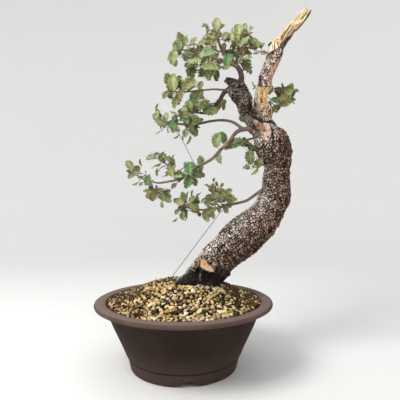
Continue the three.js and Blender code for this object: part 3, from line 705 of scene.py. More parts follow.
# Trunk. One old trunk that leans, swells and bends back, with a shorter leader and the branches grown from
# it. Its corky bark has split into small raised plates. Bare strips, a fresh saw cut and a hollow show at
# its foot and shoulder; the hollow and the lower right of the foot are darkened with painted shade. Each
# limb goes through points of x, depth, height and radius as they show.
TRUNK = [
    (8, 2, 78, 19), (13, 2, 89, 20.4), (19, 2, 101, 21.4), (33, 2, 118, 22), (47, 4, 136, 21.4),
    (67, 8, 153, 24), (89, 12, 171, 23.5), (103.5, 14, 187, 20), (113.5, 14, 207, 18.8),
    (116, 12, 222, 17.7), (117, 8, 245, 15.6), (117, 6, 256, 17.4), (113, 4, 269, 21),
    (108.2, 2, 280, 21), (103, 1, 290, 17.2), (100.5, 1, 298, 14.2), (99.4, 2, 303.5, 11.4),
    (99, 3, 307, 7.6),
]
LEADER = [
    (102, 0, 286, 15), (90.8, -4, 300, 10.4), (78.4, -10, 320, 8.5), (73.6, -14, 333, 11),
    (67, -17, 344, 11.6), (63, -18, 352, 11),
]
FOOT_FLARE = [(30, -4, 127, 13), (16.5, -7, 112.5, 11.5), (1.5, -8, 97.5, 11.5), (-6, -8, 86, 12)]
STUMP_KNOB = [(70, -18, 349.4, 6.4), (60.5, -18, 353.8, 5), (52.2, -18, 357.9, 3)]
STUMP_TOP = [(50.5, 360), (54, 359), (70, 356)]
SAWN_STUB = [(40, 6, 128, 10), (34, -10, 124, 11), (29, -23, 122, 11)]
CALLUS = [
    [(32, -18, 133.5, 3.6), (22.5, -20, 132, 4), (16, -20, 127, 3.8), (14.5, -18, 120, 3.4),
     (12, -14, 112, 3)],
    [(124.5, -5, 282, 6.5), (128.6, -2, 275, 6), (128, -1, 265, 6)],
]
HOLLOW_CENTRE = (30, -28, 101)
HOLLOW_RADII = (17, 13, 11.5)
SAWN_FACE = [
    (22.4, 131), (27.8, 129), (30.4, 124.4), (34.9, 120.6), (38.6, 114.5), (33.4, 114.7), (27.3, 117.2),
    (20.3, 120.8), (20.1, 124.2), (21, 128.7),
]
SAWN_LOWER_EDGE = [(20.3, 120.8), (27.3, 117.4), (33.4, 114.9), (38.4, 114.8)]
SAWN_KNOT = [(25.6, 124.8), (26.1, 124.4)]
CALLUS_LIP = [(15.5, 131), (21, 134), (29.5, 133)]
PINK_LIP = [(18, 128), (18.6, 122)]
PALE_ROOTS = [[(8.4, 119.7), (13.7, 115.9)], [(20.5, 113), (19.8, 108.5), (20.2, 104)]]
# inside this outline the lower right of the trunk's foot, round the hollow, is darkened with painted shade
SHADED_FOOT = [
    (-12, 101), (0, 112), (8, 119.5), (14, 121), (20, 119.5), (27.5, 116.5), (33.5, 114.5), (39, 114.5),
    (43, 112), (50, 111), (56, 106), (52, 96), (46, 80), (20, 78), (-12, 82),
]
SHADED_FOOT_EDGE = [(43, 116), (52, 113), (58, 109), (54, 96)]
STRIPPED_FACE = [
    (87, 311), (92, 307), (98, 305.5), (104, 304), (110, 304.5), (110.5, 296), (108, 285), (104, 281),
    (99, 284), (95, 293), (89, 303),
]
CLEFTS = [
    [(84, 313), (87, 310), (92, 307.5), (98, 305.6), (104, 304.6), (110, 304.4), (115, 302),
     (118.6, 299), (121, 295)],
    [(110.6, 297), (111.8, 288), (112.6, 276)],
]
STRIP_RIDGES = [
    [(89.6, 306), (90.6, 297), (88.6, 289)], [(102, 303), (105, 296), (105, 290)],
    [(106, 302), (109.4, 294), (108, 285)],
    [(98, 291), (103, 287)],
]
GOLDEN_STRIP = [(93, 306), (101.5, 304.5), (102.5, 292), (97, 291), (91.6, 296)]
BRANCHES = {
    "lowest": [
        (114, 10, 226, 3.2), (106, 8, 223, 2.4), (98, 6, 218, 2.1), (84, 0, 208, 1.9),
        (77, -3, 204, 1.8), (65, -6, 201, 1.8), (53, -9, 198, 1.8), (39, -12, 195, 1.6),
        (24, -14, 193, 1.4), (10, -14, 194, 1.2),
    ],
    "low_left": [
        (102, -2, 290, 4.2), (91, -6, 292, 3.3), (81, -8, 295, 3), (72, -11, 294, 2.8),
        (65, -14, 290, 2.5), (59, -17, 282, 2.3), (53, -20, 275, 2.2), (45, -23, 268, 2.1),
        (36, -26, 258, 2), (26, -29, 252, 2), (15, -31, 246, 1.9), (5, -31, 236, 1.7),
        (-8, -30, 231, 1.6), (-24, -28, 228, 1.5), (-33, -26, 227, 1.3), (-43, -23, 229, 1.1),
    ],
    "middle": [
        (76, -11, 293, 2.5), (66, -6, 301, 2), (59, -2, 304.5, 1.8), (48, 4, 306, 1.7),
        (35, 9, 305, 1.6), (25, 13, 303, 1.7), (14, 16, 301, 1.6), (-3, 19, 301, 1.5),
        (-14, 20, 303, 1.4), (-22, 21, 304, 1.3),
    ],
    "upper": [
        (64, -16, 346, 3.6), (53, -12, 343, 3), (48, -9, 337, 2.7), (44, -6, 330, 2.4),
        (38, -3, 324, 2.1), (29, 1, 316, 1.9), (20, 4, 315, 1.6),
    ],
    "thin": [(60, -15, 344, 2.4), (53, -15, 344, 1.6), (39, -18, 345, 1.3), (24, -21, 344, 1.15)],
    "crown": [
        (68, -17, 346, 5), (72, -16, 357, 3.8), (72, -15, 363, 3.4), (69, -13, 371, 3.2), (64, -12, 376, 3),
    ],
    "crown_left": [
        (66, -13, 374, 2.8), (57, -11, 379, 2.3), (48, -10, 382, 2), (36, -8, 384, 1.8),
        (24, -6, 388, 1.5),
    ],
    "crown_top": [(58, -11, 379, 2), (51, -8, 390, 1.8), (46, -5, 398, 1.6), (43, -2, 408, 1.4)],
    "crown_right": [(64, -12, 375, 2.3), (67, -10, 386, 1.9), (68, -7, 396, 1.7), (70, -4, 406, 1.4)],
}
BARK_DEPTH = 1.9
PLATE_WIDTH = 3.05
PLATE_LENGTH = 3.4
KNOBBY_SHOULDER = [(121, 290), (129, 281), (131, 272)]
DARK_BRANCHES = ("upper", "crown", "crown_top", "crown_right")
TRUNK_GRAIN = 0.87
SAW_PLANE = (29, -33.5, 122)
SAW_NORMAL = (-0.22, -0.95, -0.22)
# PALE_SIDE is the way that the painted light on the bark comes from
PALE_SIDE = (-0.62, -0.3, 0.55)
SHADED_SIDE = (0.8, -0.1, -0.45)


def fused(piece, grain):
    """Joins the crossing solids of a piece into one skin of small faces, a grain in millimetres wide."""
    fuse = piece.modifiers.new("fuse", "REMESH")
    fuse.mode = "VOXEL"
    fuse.voxel_size = grain * MM
    baked(piece)


def reshape(mesh, spots):
    """Moves the points of a mesh to new places."""
    mesh.vertices.foreach_set("co", spots.ravel())
    mesh.update()
    smoothed(mesh, 180)


def noises(places, *scale):
    """A smooth random number for each place, from a pattern stretched by one scale or one for each axis."""
    return np.array([noise.noise(Vector(place)) for place in places / scale])


def along_limbs(spots, lines):
    """For each spot the limb it belongs to, that limb's radius there, and the spot's place in the limb's own
    straightened space in millimetres: two directions across and the third along."""
    best = np.full(len(spots), np.inf)
    owner, girth, unrolled = np.zeros(len(spots), int), np.zeros(len(spots)), np.zeros((len(spots), 3))
    for number, line in enumerate(lines):
        centres, radii = line[:, :3], line[:, 3]
        tangents = np.gradient(centres, axis=0)
        tangents /= np.linalg.norm(tangents, axis=1)[:, None]
        walked = np.concatenate([[0], np.cumsum(np.linalg.norm(np.diff(centres, axis=0), axis=1))])
        across = [np.array((0.3, -0.9, 0.1))]
        for tangent in tangents:
            side = across[-1] - tangent * across[-1].dot(tangent)
            across.append(side / np.linalg.norm(side))
        across = np.array(across[1:])
        beside = np.cross(tangents, across)
        for first in range(0, len(spots), 20000):
            part = slice(first, first + 20000)
            gaps = np.linalg.norm(spots[part, None] - centres[None], axis=2) - radii[None]
            nearest = gaps.argmin(axis=1)
            gap = gaps[np.arange(len(nearest)), nearest]
            offset = spots[part] - centres[nearest]
            place = np.column_stack([(offset * across[nearest]).sum(1), (offset * beside[nearest]).sum(1),
                                     walked[nearest] + (offset * tangents[nearest]).sum(1)]) / MM
            closer = gap < best[part]
            best[part] = np.where(closer, gap, best[part])
            owner[part] = np.where(closer, number, owner[part])
            girth[part] = np.where(closer, radii[nearest] / MM, girth[part])
            unrolled[part] = np.where(closer[:, None], place, unrolled[part])
    return owner, girth, unrolled


def eased(values, low, high):
    """Values carried from low to high into 0 to 1, with a soft start and end."""
    steps = np.clip((values - low) / (high - low), 0, 1)
    return steps * steps * (3 - 2 * steps)


def sight(spots):
    """The x and height, in millimetres on the upright plane through the pot's axis, at which spots show."""
    flat = (spots - np.array(AXIS)) / MM
    near = nearness(flat[:, 1])
    return EYE.x + (flat[:, 0] - EYE.x) / near, EYE.z + (flat[:, 2] - EYE.z) / near


def line_gap(seen, points):
    """How far places lie from a drawn line of (x, height) points, in millimetres."""
    x, z = seen
    gap = np.full(len(x), np.inf)
    for (ax, az), (bx, bz) in zip(points, points[1:]):
        length = (bx - ax) ** 2 + (bz - az) ** 2
        t = np.clip(((x - ax) * (bx - ax) + (z - az) * (bz - az)) / length, 0, 1)
        gap = np.minimum(gap, np.hypot(x - ax - t * (bx - ax), z - az - t * (bz - az)))
    return gap


def near_line(seen, reach, soft, *lines):
    """1 close to any of some drawn lines, falling to 0 between reach and reach + soft."""
    return 1 - eased(np.min([line_gap(seen, points) for points in lines], axis=0), reach, reach + soft)


def within(seen, outline, soft):
    """1 inside a drawn outline and 0 outside, with an edge that is soft by so many millimetres."""
    x, z = seen
    inside = np.zeros(len(x), bool)
    for (ax, az), (bx, bz) in zip(outline, outline[1:] + outline[:1]):
        if az != bz:
            inside ^= ((az > z) != (bz > z)) & (x < (bx - ax) * (z - az) / (bz - az) + ax)
    gap = line_gap(seen, outline + outline[:1])
    return eased(np.where(inside, gap, -gap), -soft, soft)


def nearest_cells(across, along, wrap_at):
    """For places counted in cells, the tone of each one's cell and how far it is from the cell's wall. The
    cells lie scattered on the skin, and across comes round again after wrap_at cells."""
    scatter = np.random.default_rng(4).uniform(size=(128, 128, 3))
    column, row = np.floor(across).astype(int), np.floor(along).astype(int)
    seeds, tones = [], []
    for i in (-1, 0, 1):
        for j in (-1, 0, 1):
            look = scatter[(column + i) % wrap_at % 128, (row + j) % 128]
            seeds.append(np.column_stack([column + i, row + j]) + 0.04 + 0.92 * look[:, :2])
            tones.append(look[:, 2])
    seeds = np.array(seeds)
    gaps = np.hypot(seeds[:, :, 0] - across, seeds[:, :, 1] - along)
    order = np.argsort(gaps, axis=0)
    every = np.arange(len(across))
    wall = np.full(len(across), np.inf)
    for other in order[1:3]:
        apart = np.linalg.norm(seeds[other, every] - seeds[order[0], every], axis=1)
        wall = np.minimum(wall, (gaps[other, every] ** 2 - gaps[order[0], every] ** 2) / (2 * apart))
    return np.array(tones)[order[0], every], wall


limbs = [TRUNK, LEADER, FOOT_FLARE, STUMP_KNOB, SAWN_STUB, *CALLUS, *BRANCHES.values()]
wood_lines = [seen_line(points) for points in limbs]
trunk = put(rods(wood_lines, "trunk_wood", 24), "trunk_wood")
fused(trunk, TRUNK_GRAIN)
bm = bmesh.new()
bmesh.ops.create_icosphere(bm, subdivisions=5, radius=1)
bmesh.ops.scale(bm, verts=bm.verts, vec=Vector(HOLLOW_RADII) * MM)
bmesh.ops.translate(bm, verts=bm.verts, vec=from_sight(*HOLLOW_CENTRE))
cut_away(trunk, put(mesh_from(bm, "hollow"), "hollow"))

wood_mesh = trunk.data
spots = read_values(wood_mesh.vertices, "co", 3)
normals = read_values(wood_mesh.vertices, "normal", 3)
owner, girth, unrolled = along_limbs(spots, wood_lines)
seen = seen_x, seen_z = sight(spots)
facing = -normals[:, 1]
front = eased(facing, 0.0, 0.35)

hollow_gap = (spots - np.array(from_sight(*HOLLOW_CENTRE))) / (np.array(HOLLOW_RADII) * MM)
inside_hollow = 1 - eased(np.linalg.norm(hollow_gap, axis=1), 1.02, 1.2)
ragged = noises(np.column_stack([seen_x, np.full(len(spots), 9), seen_z]), 1.4, 1, 1.4)
sawn = within((seen_x + 1.2 * ragged, seen_z + 0.9 * ragged), SAWN_FACE, 0.4) * front * (1 - inside_hollow)
stripped = within(seen, STRIPPED_FACE, 1.5) * front
clefts = near_line(seen, 0.5, 1.6, *CLEFTS) * front
strip_ridge = near_line(seen, 0.5, 1.4, *STRIP_RIDGES) * front
golden_strip = within(seen, GOLDEN_STRIP, 1.2) * front * (1 - strip_ridge)
knobby = near_line(seen, 5, 6, KNOBBY_SHOULDER)
young = (1 - eased(girth, 3.8, 6)) * (owner >= limbs.index(BRANCHES["lowest"]))
dark_limbs = [LEADER, STUMP_KNOB, *(BRANCHES[name] for name in DARK_BRANCHES)]
dark_limb = np.isin(owner, [limbs.index(limb) for limb in dark_limbs]) * 1.0
stump_top = near_line(seen, 3, 3, STUMP_TOP) * (owner != limbs.index(BRANCHES["crown"]))
old = (1 - young) * (1 - sawn) * (1 - 0.8 * stripped)

limb_cells = [round(math.tau * line[:, 3].mean() / MM / PLATE_WIDTH) for line in wood_lines]
limb_cells = np.maximum(5, np.array(limb_cells)[owner])
# noise_vector shifts its pattern by the clock unless it is seeded
noise.seed_set(4)
wobble = 0.45 * np.array([noise.noise_vector(Vector(place) / 4) for place in unrolled])
turned_by = (np.arctan2(unrolled[:, 1], unrolled[:, 0]) / math.tau + 0.5) * limb_cells + wobble[:, 0]
plate, wall = nearest_cells(turned_by, unrolled[:, 2] / PLATE_LENGTH + wobble[:, 1], limb_cells)
wall *= 1 + 0.7 * noises(unrolled, 7)
relief = BARK_DEPTH * (eased(wall, 0, 0.24) - 0.7) + 1.4 * plate ** 4 - 0.1 + 0.6 * knobby
relief += 0.35 * noises(unrolled, 1.3)
lumps = 1.6 * noises(unrolled, 17) + noises(unrolled, 8)
smooth = young > 0.98
push = np.where(smooth, 0.14 * noises(unrolled, 1.7), relief * old + lumps * (1 - young) * (1 - sawn))
plate = np.where(smooth, 0.5 + 0.5 * noises(unrolled, 5), plate)
furrow = np.where(smooth, 0.3 + 0.7 * noises(unrolled, 1.3), np.clip(1 - wall / 0.4, 0, 1))
grooves = noises(unrolled, 1.9, 1.9, 10)
push += stripped * (0.9 * grooves - 0.6) + 0.6 * strip_ridge - 1.6 * clefts * (1 - young)
push *= (1 - 0.75 * stump_top) * (1 - 0.6 * inside_hollow)
spots += normals * push[:, None] * MM

# the saw cut is one flat face: what shows inside its outline slides along the line of sight onto its plane
eye = np.array(EYE * MM + AXIS)
rays = spots - eye
reach = ((np.array(from_sight(*SAW_PLANE)) - eye) @ SAW_NORMAL) / (rays @ SAW_NORMAL)
reshape(wood_mesh, np.where((sawn > 0.5)[:, None], eye + rays * reach[:, None], spots))

furrow = furrow * old + young * np.clip(furrow, 0, 1)
# Grey plates: bark weathered grey in a patch high on the trunk, and painted light on the sides that face the
# upper left, where the plates turn grey and near white.
weathered = 0.75 * eased(seen_z, 262, 282) * eased(-seen_x, -122, -108) * (owner == 0)
weathered = np.maximum(eased(normals @ PALE_SIDE, 0.22, 0.95), weathered)
# Painted shade: the hollow, and the lower right of the foot where it faces the front, go near black.
foot_shade = np.maximum(within(seen, SHADED_FOOT, 2.5), 0.7 * near_line(seen, 1, 8, SHADED_FOOT_EDGE))
keep_values(
    wood_mesh, furrow=furrow, plate=plate, young=young, sawn=sawn, stripped=stripped, clefts=clefts,
    burnt=np.maximum(inside_hollow, foot_shade * eased(facing, -0.3, 0.1)), weathered=weathered,
    shaded=eased(normals @ SHADED_SIDE, 0.15, 0.85), grooves=0.5 + 0.5 * grooves, knobby=knobby,
    strip_ridge=strip_ridge, golden_strip=golden_strip, dark_limb=dark_limb, stump_top=stump_top,
    pale_root=near_line(seen, 0.4, 1, *PALE_ROOTS) * front, cut_knot=near_line(seen, 0.3, 1, SAWN_KNOT),
    cut_edge=near_line(seen, 0.5, 2.5, SAWN_LOWER_EDGE), cut_top=eased(seen_z + 2 * ragged, 123, 128),
    callus_lip=near_line(seen, 1.6, 3, CALLUS_LIP) * front,
    pink_lip=near_line(seen, 0.5, 1.2, PINK_LIP) * front)
unroll = wood_mesh.attributes.new("unrolled", "FLOAT_VECTOR", "POINT")
unroll.data.foreach_set("vector", np.ascontiguousarray(unrolled, np.float32).ravel())

bark, tree, shader, dry = dry_material("bark", 70.0, 1100.0, Roughness=0.88, Specular_IOR_Level=0.2)
straight = add(tree, "Attribute", {"attribute_name": "unrolled"}).outputs["Vector"]
cells = add(tree, "Mapping", Vector=straight, Scale=(0.5, 0.5, 0.36)).outputs[0]
split = add(tree, "TexVoronoi", {"feature": "DISTANCE_TO_EDGE"}, Scale=1.0, Vector=cells).outputs["Distance"]
chinks = ramp(tree, split, 0.13, 0.02)
flake = add(tree, "TexVoronoi", Scale=1.0, Vector=cells).outputs["Color"]
flake = times(tree, add(tree, "SeparateXYZ", Vector=flake).outputs["X"], 0.3)
tone = ramp(tree, times(tree, "plate", flake, "ADD"), 0.0, 1.1)
brown_plate = mix(tree, tone, (84, 62, 53), (190, 160, 139))
grey_plate = mix(tree, tone, (156, 138, 126), (255, 246, 236))
dim_share = times(tree, "shaded", times(tree, 1.0, times(tree, tone, 0.55), "SUBTRACT"))
cracked = times(tree, ramp(tree, "furrow", 0.42, 0.8), times(tree, chinks, 0.25), "MAXIMUM")
curls = times(tree, times(tree, chinks, "dark_limb"), ramp(tree, dry["Patches"], 0.35, 0.8))
# the plates go from brown to grey and near white where the bark is weathered, and where painted light falls
# on the lit side
rough_bark = coats(
    tree, mix(tree, "weathered", brown_plate, grey_plate), (dim_share, 0.85, (74, 50, 43)),
    (dry["Patches"], 0.15, (104, 82, 70)), ("knobby", 0.25, (128, 92, 74)),
    ("callus_lip", 0.6, (196, 188, 164)), ("dark_limb", 0.6, (52, 42, 41)), (cracked, 1.0, (32, 22, 19)),
    (curls, 0.75, (222, 212, 204)), ("stump_top", 0.8, (60, 46, 42)))
young_bark = coats(
    tree, mix(tree, "plate", (98, 80, 70), (152, 130, 114)), ("dark_limb", 0.75, (72, 56, 50)),
    (ramp(tree, "furrow", 0.35, 0.9), 1.0, (64, 48, 40)))
strip_tone = mix(tree, ramp(tree, "grooves", 0.42, 0.54), (84, 52, 42), (226, 200, 188))
strip_tone = coats(tree, strip_tone, (dry["Patches"], 0.45, (176, 118, 76)))
pitted = add(tree, "TexNoise", Vector=straight, Scale=0.45, Detail=2.0).outputs["Fac"]
golden_tone = mix(tree, ramp(tree, pitted, 0.47, 0.55), (188, 142, 92), (66, 38, 26))
strip_tone = mix(tree, "golden_strip", strip_tone, golden_tone)
strip_tone = coats(tree, strip_tone, ("strip_ridge", 0.5, (226, 198, 186)))
# near black painted shade for the hollow and the foot's lower right
burnt_tone = mix(tree, dry["Patches"], (14, 12, 12), (38, 33, 32))
burnt_tone = coats(tree, burnt_tone, (dry["Specks"], 0.5, (84, 74, 70)))
cut_tone = coats(
    tree, mix(tree, "cut_top", (232, 194, 154), (222, 172, 116)), (dry["Patches"], 0.4, (206, 158, 120)),
    ("cut_edge", 1.0, (248, 220, 192)), ("cut_knot", 1.0, (150, 92, 54)))
skin = mix(tree, "young", rough_bark, young_bark)
skin = coats(
    tree, skin, ("stripped", 0.85, strip_tone), ("clefts", 0.95, (30, 18, 15)),
    ("pink_lip", 1.0, (224, 184, 164)), ("burnt", 0.96, burnt_tone), ("pale_root", 0.8, (150, 140, 132)),
    ("sawn", 1.0, cut_tone))
feed(tree, shader.inputs["Base Color"], skin)
bump(tree, shader, times(tree, dry["Grit"], times(tree, chinks, -0.8), "ADD"), 0.7, 0.6)
paint(trunk, bark)
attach(trunk, "root")
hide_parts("trunk")


# Dead spike. The stripped and torn top of the old trunk: hard bare wood, ribbed along its grain, cream on
# its left and golden at the middle, with old bark left round its upper half and a long splintered end.
SPIKE = [
    (99, 2, 292, 9), (98.2, 3, 306, 9.3), (99, 3.5, 314, 12), (98, 4, 321, 11.2), (96.5, 6, 331, 8.5),
    (97.2, 7, 338, 8), (98.8, 8, 344, 8), (102, 9, 350, 8.2), (102.4, 10, 358, 8.2),
    (104.4, 11, 365, 8.2), (107.6, 12, 371.5, 8.3), (111.3, 13, 381, 8.9), (114.4, 14, 389, 9.2),
    (115.9, 15, 397, 9.2), (119.2, 16, 403, 7.4), (124.4, 17, 409.5, 6.3), (130.8, 18, 416.5, 6.3),
    (135.4, 19, 422, 6.2), (140.8, 19, 428, 6.1), (146.3, 20, 434, 5.6), (151, 20, 439.2, 5.1),
    (155.6, 19, 445, 4.3),
]
SPLINTERS = [
    [(139, 15, 420, 3), (146, 14, 427, 2.9), (152, 13, 434, 2.5), (156.6, 12, 440.4, 2.1),
     (160, 11, 445.4, 1)],
    [(152, 20, 441, 2.8), (153.4, 20, 446, 1.9), (154.6, 20, 448.8, 0.8)],
    [(112, 12, 398, 3.4), (107.8, 11, 401.6, 2.2), (110, 12, 404, 1)],
    [(122, 13, 397, 3), (128, 14, 405, 2.4), (133, 15, 411, 2), (136, 16, 414.5, 1.2)],
    [(91, 1, 308, 3.4), (89.2, 1, 316, 3), (89, 2, 323, 2.7), (90.4, 3, 334, 2.4), (92.8, 4, 345, 2),
     (95, 5, 353, 1.6)],
]
OLD_BARK = [
    (80, 349), (93, 349), (100, 347), (112, 345), (126, 366), (140, 398), (142, 414), (137.5, 415),
    (133.5, 413.1), (129.3, 410.6), (125.9, 408), (123.4, 404.2), (120.9, 402.6), (120, 398.7),
    (114.9, 395.4), (110.8, 393.9), (106.6, 391), (96, 391),
]
GOLDEN_HEART = [(101.5, 349), (100.5, 340), (100, 331)]
HEART_SLIT = [(98.8, 342.5), (98.9, 336)]
BROWN_EDGE = [(137, 413.8), (140.4, 418), (145.4, 423), (150.5, 429), (154, 434), (157.4, 439.1), (161, 445)]
BROWN_STREAKS = [
    [(130.5, 415.5), (136, 420.5), (142, 426.5)], [(134.5, 414.5), (140, 421), (146, 428.5)],
    [(122.5, 412), (127, 418)],
    [(88.4, 326), (88.8, 318)], [(95.8, 344), (96.6, 339.5)],
]
DARK_FLECKS = [(96, 349), (96, 361)]
DARK_SHOULDER = [(106.5, 400.5), (109.5, 404)]
PALE_PATCH = [(114.5, 388), (120.5, 394)]
SPIKE_GRAIN = 0.6
SPIRAL_LENGTH = 46

spike_lines = [seen_line(points) for points in (SPIKE, *SPLINTERS)]
spike = put(rods(spike_lines, "bare_spike", 20), "bare_spike")
fused(spike, SPIKE_GRAIN)
spots = read_values(spike.data.vertices, "co", 3)
normals = read_values(spike.data.vertices, "normal", 3)
a, b, c = along_limbs(spots, spike_lines[:1])[2].T
turn = c / SPIRAL_LENGTH
spiral = np.column_stack([a * np.cos(turn) - b * np.sin(turn), a * np.sin(turn) + b * np.cos(turn), c])
ribs = noises(spiral, 1.7, 1.7, 26) + 0.5 * noises(spiral, 0.8, 0.8, 12)
pits = noises(spiral, 1.1, 1.1, 1.5) + 0.35 * noises(spiral, 2.6, 2.6, 3)
seen = seen_x, seen_z = sight(spots)
front = eased(-normals[:, 1], -0.2, 0.3)
crusted = within(seen, OLD_BARK, 1.2)
slit = near_line(seen, 0.2, 1.1, HEART_SLIT) * front
push = (0.7 * ribs - 0.2) * (1 - 0.7 * crusted) + crusted * (0.2 + 1.1 * pits) - 1.4 * slit
reshape(spike.data, spots + normals * (push * MM)[:, None])
heights, middles, widths = np.array([(point[2], point[0], point[3]) for point in SPIKE]).T
rightness = (seen_x - np.interp(seen_z, heights, middles)) / np.interp(seen_z, heights, widths)
streaked = 0.7 * near_line((seen_x + 0.8 * ribs, seen_z), 0.3, 1, *BROWN_STREAKS) * front
mauve = eased(rightness + 0.5 * pits, -0.7, -0.2) * (1 - eased(seen_z + 9 * pits, 317, 335)) * front
keep_values(
    spike.data, ribs=0.5 + 0.5 * ribs, grain=0.5 + 0.5 * noises(spiral, 0.6, 0.6, 14), crusted=crusted,
    pits=0.5 + 0.5 * pits, blots=0.5 + 0.5 * noises(spiral, 4.5, 4.5, 7), slit=slit, mauve=mauve,
    golden=near_line(seen, 2.5, 5, GOLDEN_HEART), upper=eased(seen_z, 378, 392),
    brown=np.maximum(near_line(seen, 0.7, 1, BROWN_EDGE), streaked), yellow=eased(seen_z, 400, 408),
    rightness=0.5 + 0.5 * rightness, flecks=near_line(seen, 1, 1.8, DARK_FLECKS),
    shoulder=near_line(seen, 0.8, 1.2, DARK_SHOULDER), pale_patch=near_line(seen, 1.6, 2.2, PALE_PATCH))

bare_wood, tree, shader, dry = dry_material(
    "bare_wood", 130.0, 1500.0, Roughness=0.68, Specular_IOR_Level=0.3)
spotted = ramp(tree, "pits", 0.42, 0.62)
blots = ramp(tree, "blots", 0.36, 0.64)
yellow = mix(tree, dry["Patches"], (232, 216, 180), (216, 186, 138))
golden = mix(tree, dry["Patches"], (242, 206, 146), (222, 172, 106))
pale_beads = mix(tree, blots, (214, 184, 150), (240, 220, 190))
beads = mix(tree, spotted, mix(tree, blots, (84, 54, 48), (128, 84, 60)), pale_beads)
crust_low = mix(tree, blots, (46, 32, 30), (112, 80, 68))
crust_high = mix(tree, blots, (176, 148, 134), (242, 230, 216))
high_crust = mix(tree, ramp(tree, "pits", 0.52, 0.72), (42, 29, 28), (150, 120, 112))
crust = coats(
    tree, mix(tree, spotted, crust_low, crust_high),
    (ramp(tree, "rightness", 0.6, 0.85), 0.55, mix(tree, spotted, (150, 104, 80), (228, 176, 132))),
    ("upper", 1.0, high_crust), ("pale_patch", spotted, (222, 212, 206)),
    ("flecks", 1.0, mix(tree, spotted, (38, 26, 25), (120, 96, 86))))
wood = coats(
    tree, mix(tree, dry["Patches"], (248, 238, 214), (226, 206, 168)), ("yellow", 1.0, yellow),
    ("golden", 1.0, golden), (ramp(tree, "grain", 0.5, 0.34), 0.75, (140, 98, 62)),
    (ramp(tree, "ribs", 0.4, 0.24), 1.0, (118, 78, 48)), ("mauve", 1.0, beads),
    ("slit", 1.0, (176, 112, 52)), ("crusted", 1.0, crust), ("shoulder", 1.0, (58, 40, 36)),
    ("brown", 1.0, (86, 56, 38)))
feed(tree, shader.inputs["Base Color"], wood)
bump(tree, shader, dry["Grit"], 0.4, 0.4)
paint(spike, bare_wood)
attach(spike, "root")
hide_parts("deadwood")


# Sprays. Each is a leafy twig: thin smooth shoots that carry small stiff oval leaves with spiny wavy edges,
# dusty grey green above and paler below, with pinkish stalks, among them some fresh bright ones.
LEAF_STATIONS = 10
LEAF_SHAPES = 12
SMOOTH_SHAPES = 4
LARGE_LEAF = 14.5
STALK_STATIONS = 2
STALK_SHARE = 0.14
STALK_WIDTH = 0.024
# the dark and deep tones are leaves in shade: a darker green deepened with painted shade
LEAF_TONES = {
    "olive": (133, 139, 80), "khaki": (134, 130, 76), "sage": (144, 153, 98), "lime": (144, 150, 96),
    "mint": (120, 148, 106), "pale": (137, 162, 102), "green": (54, 110, 50), "deep": (14, 42, 22),
    "moss": (70, 90, 42), "dark": (84, 90, 50), "grey": (126, 130, 98), "edge": (96, 96, 60),
}
FILL_TONES = ("olive", "khaki", "sage", "dark", "grey")
MASS_LEAF_AREA = 56
BLADE_THICKNESS = 0.026
LEAVES_FACE = Vector((-0.15, -0.85, 0.5))
BEHIND = Vector((0, 1, 0))
STEM_RADII = (1.25, 0.75)
SHOOT_RADII = (0.7, 0.4)
STALK_RADII = (0.42, 0.26)
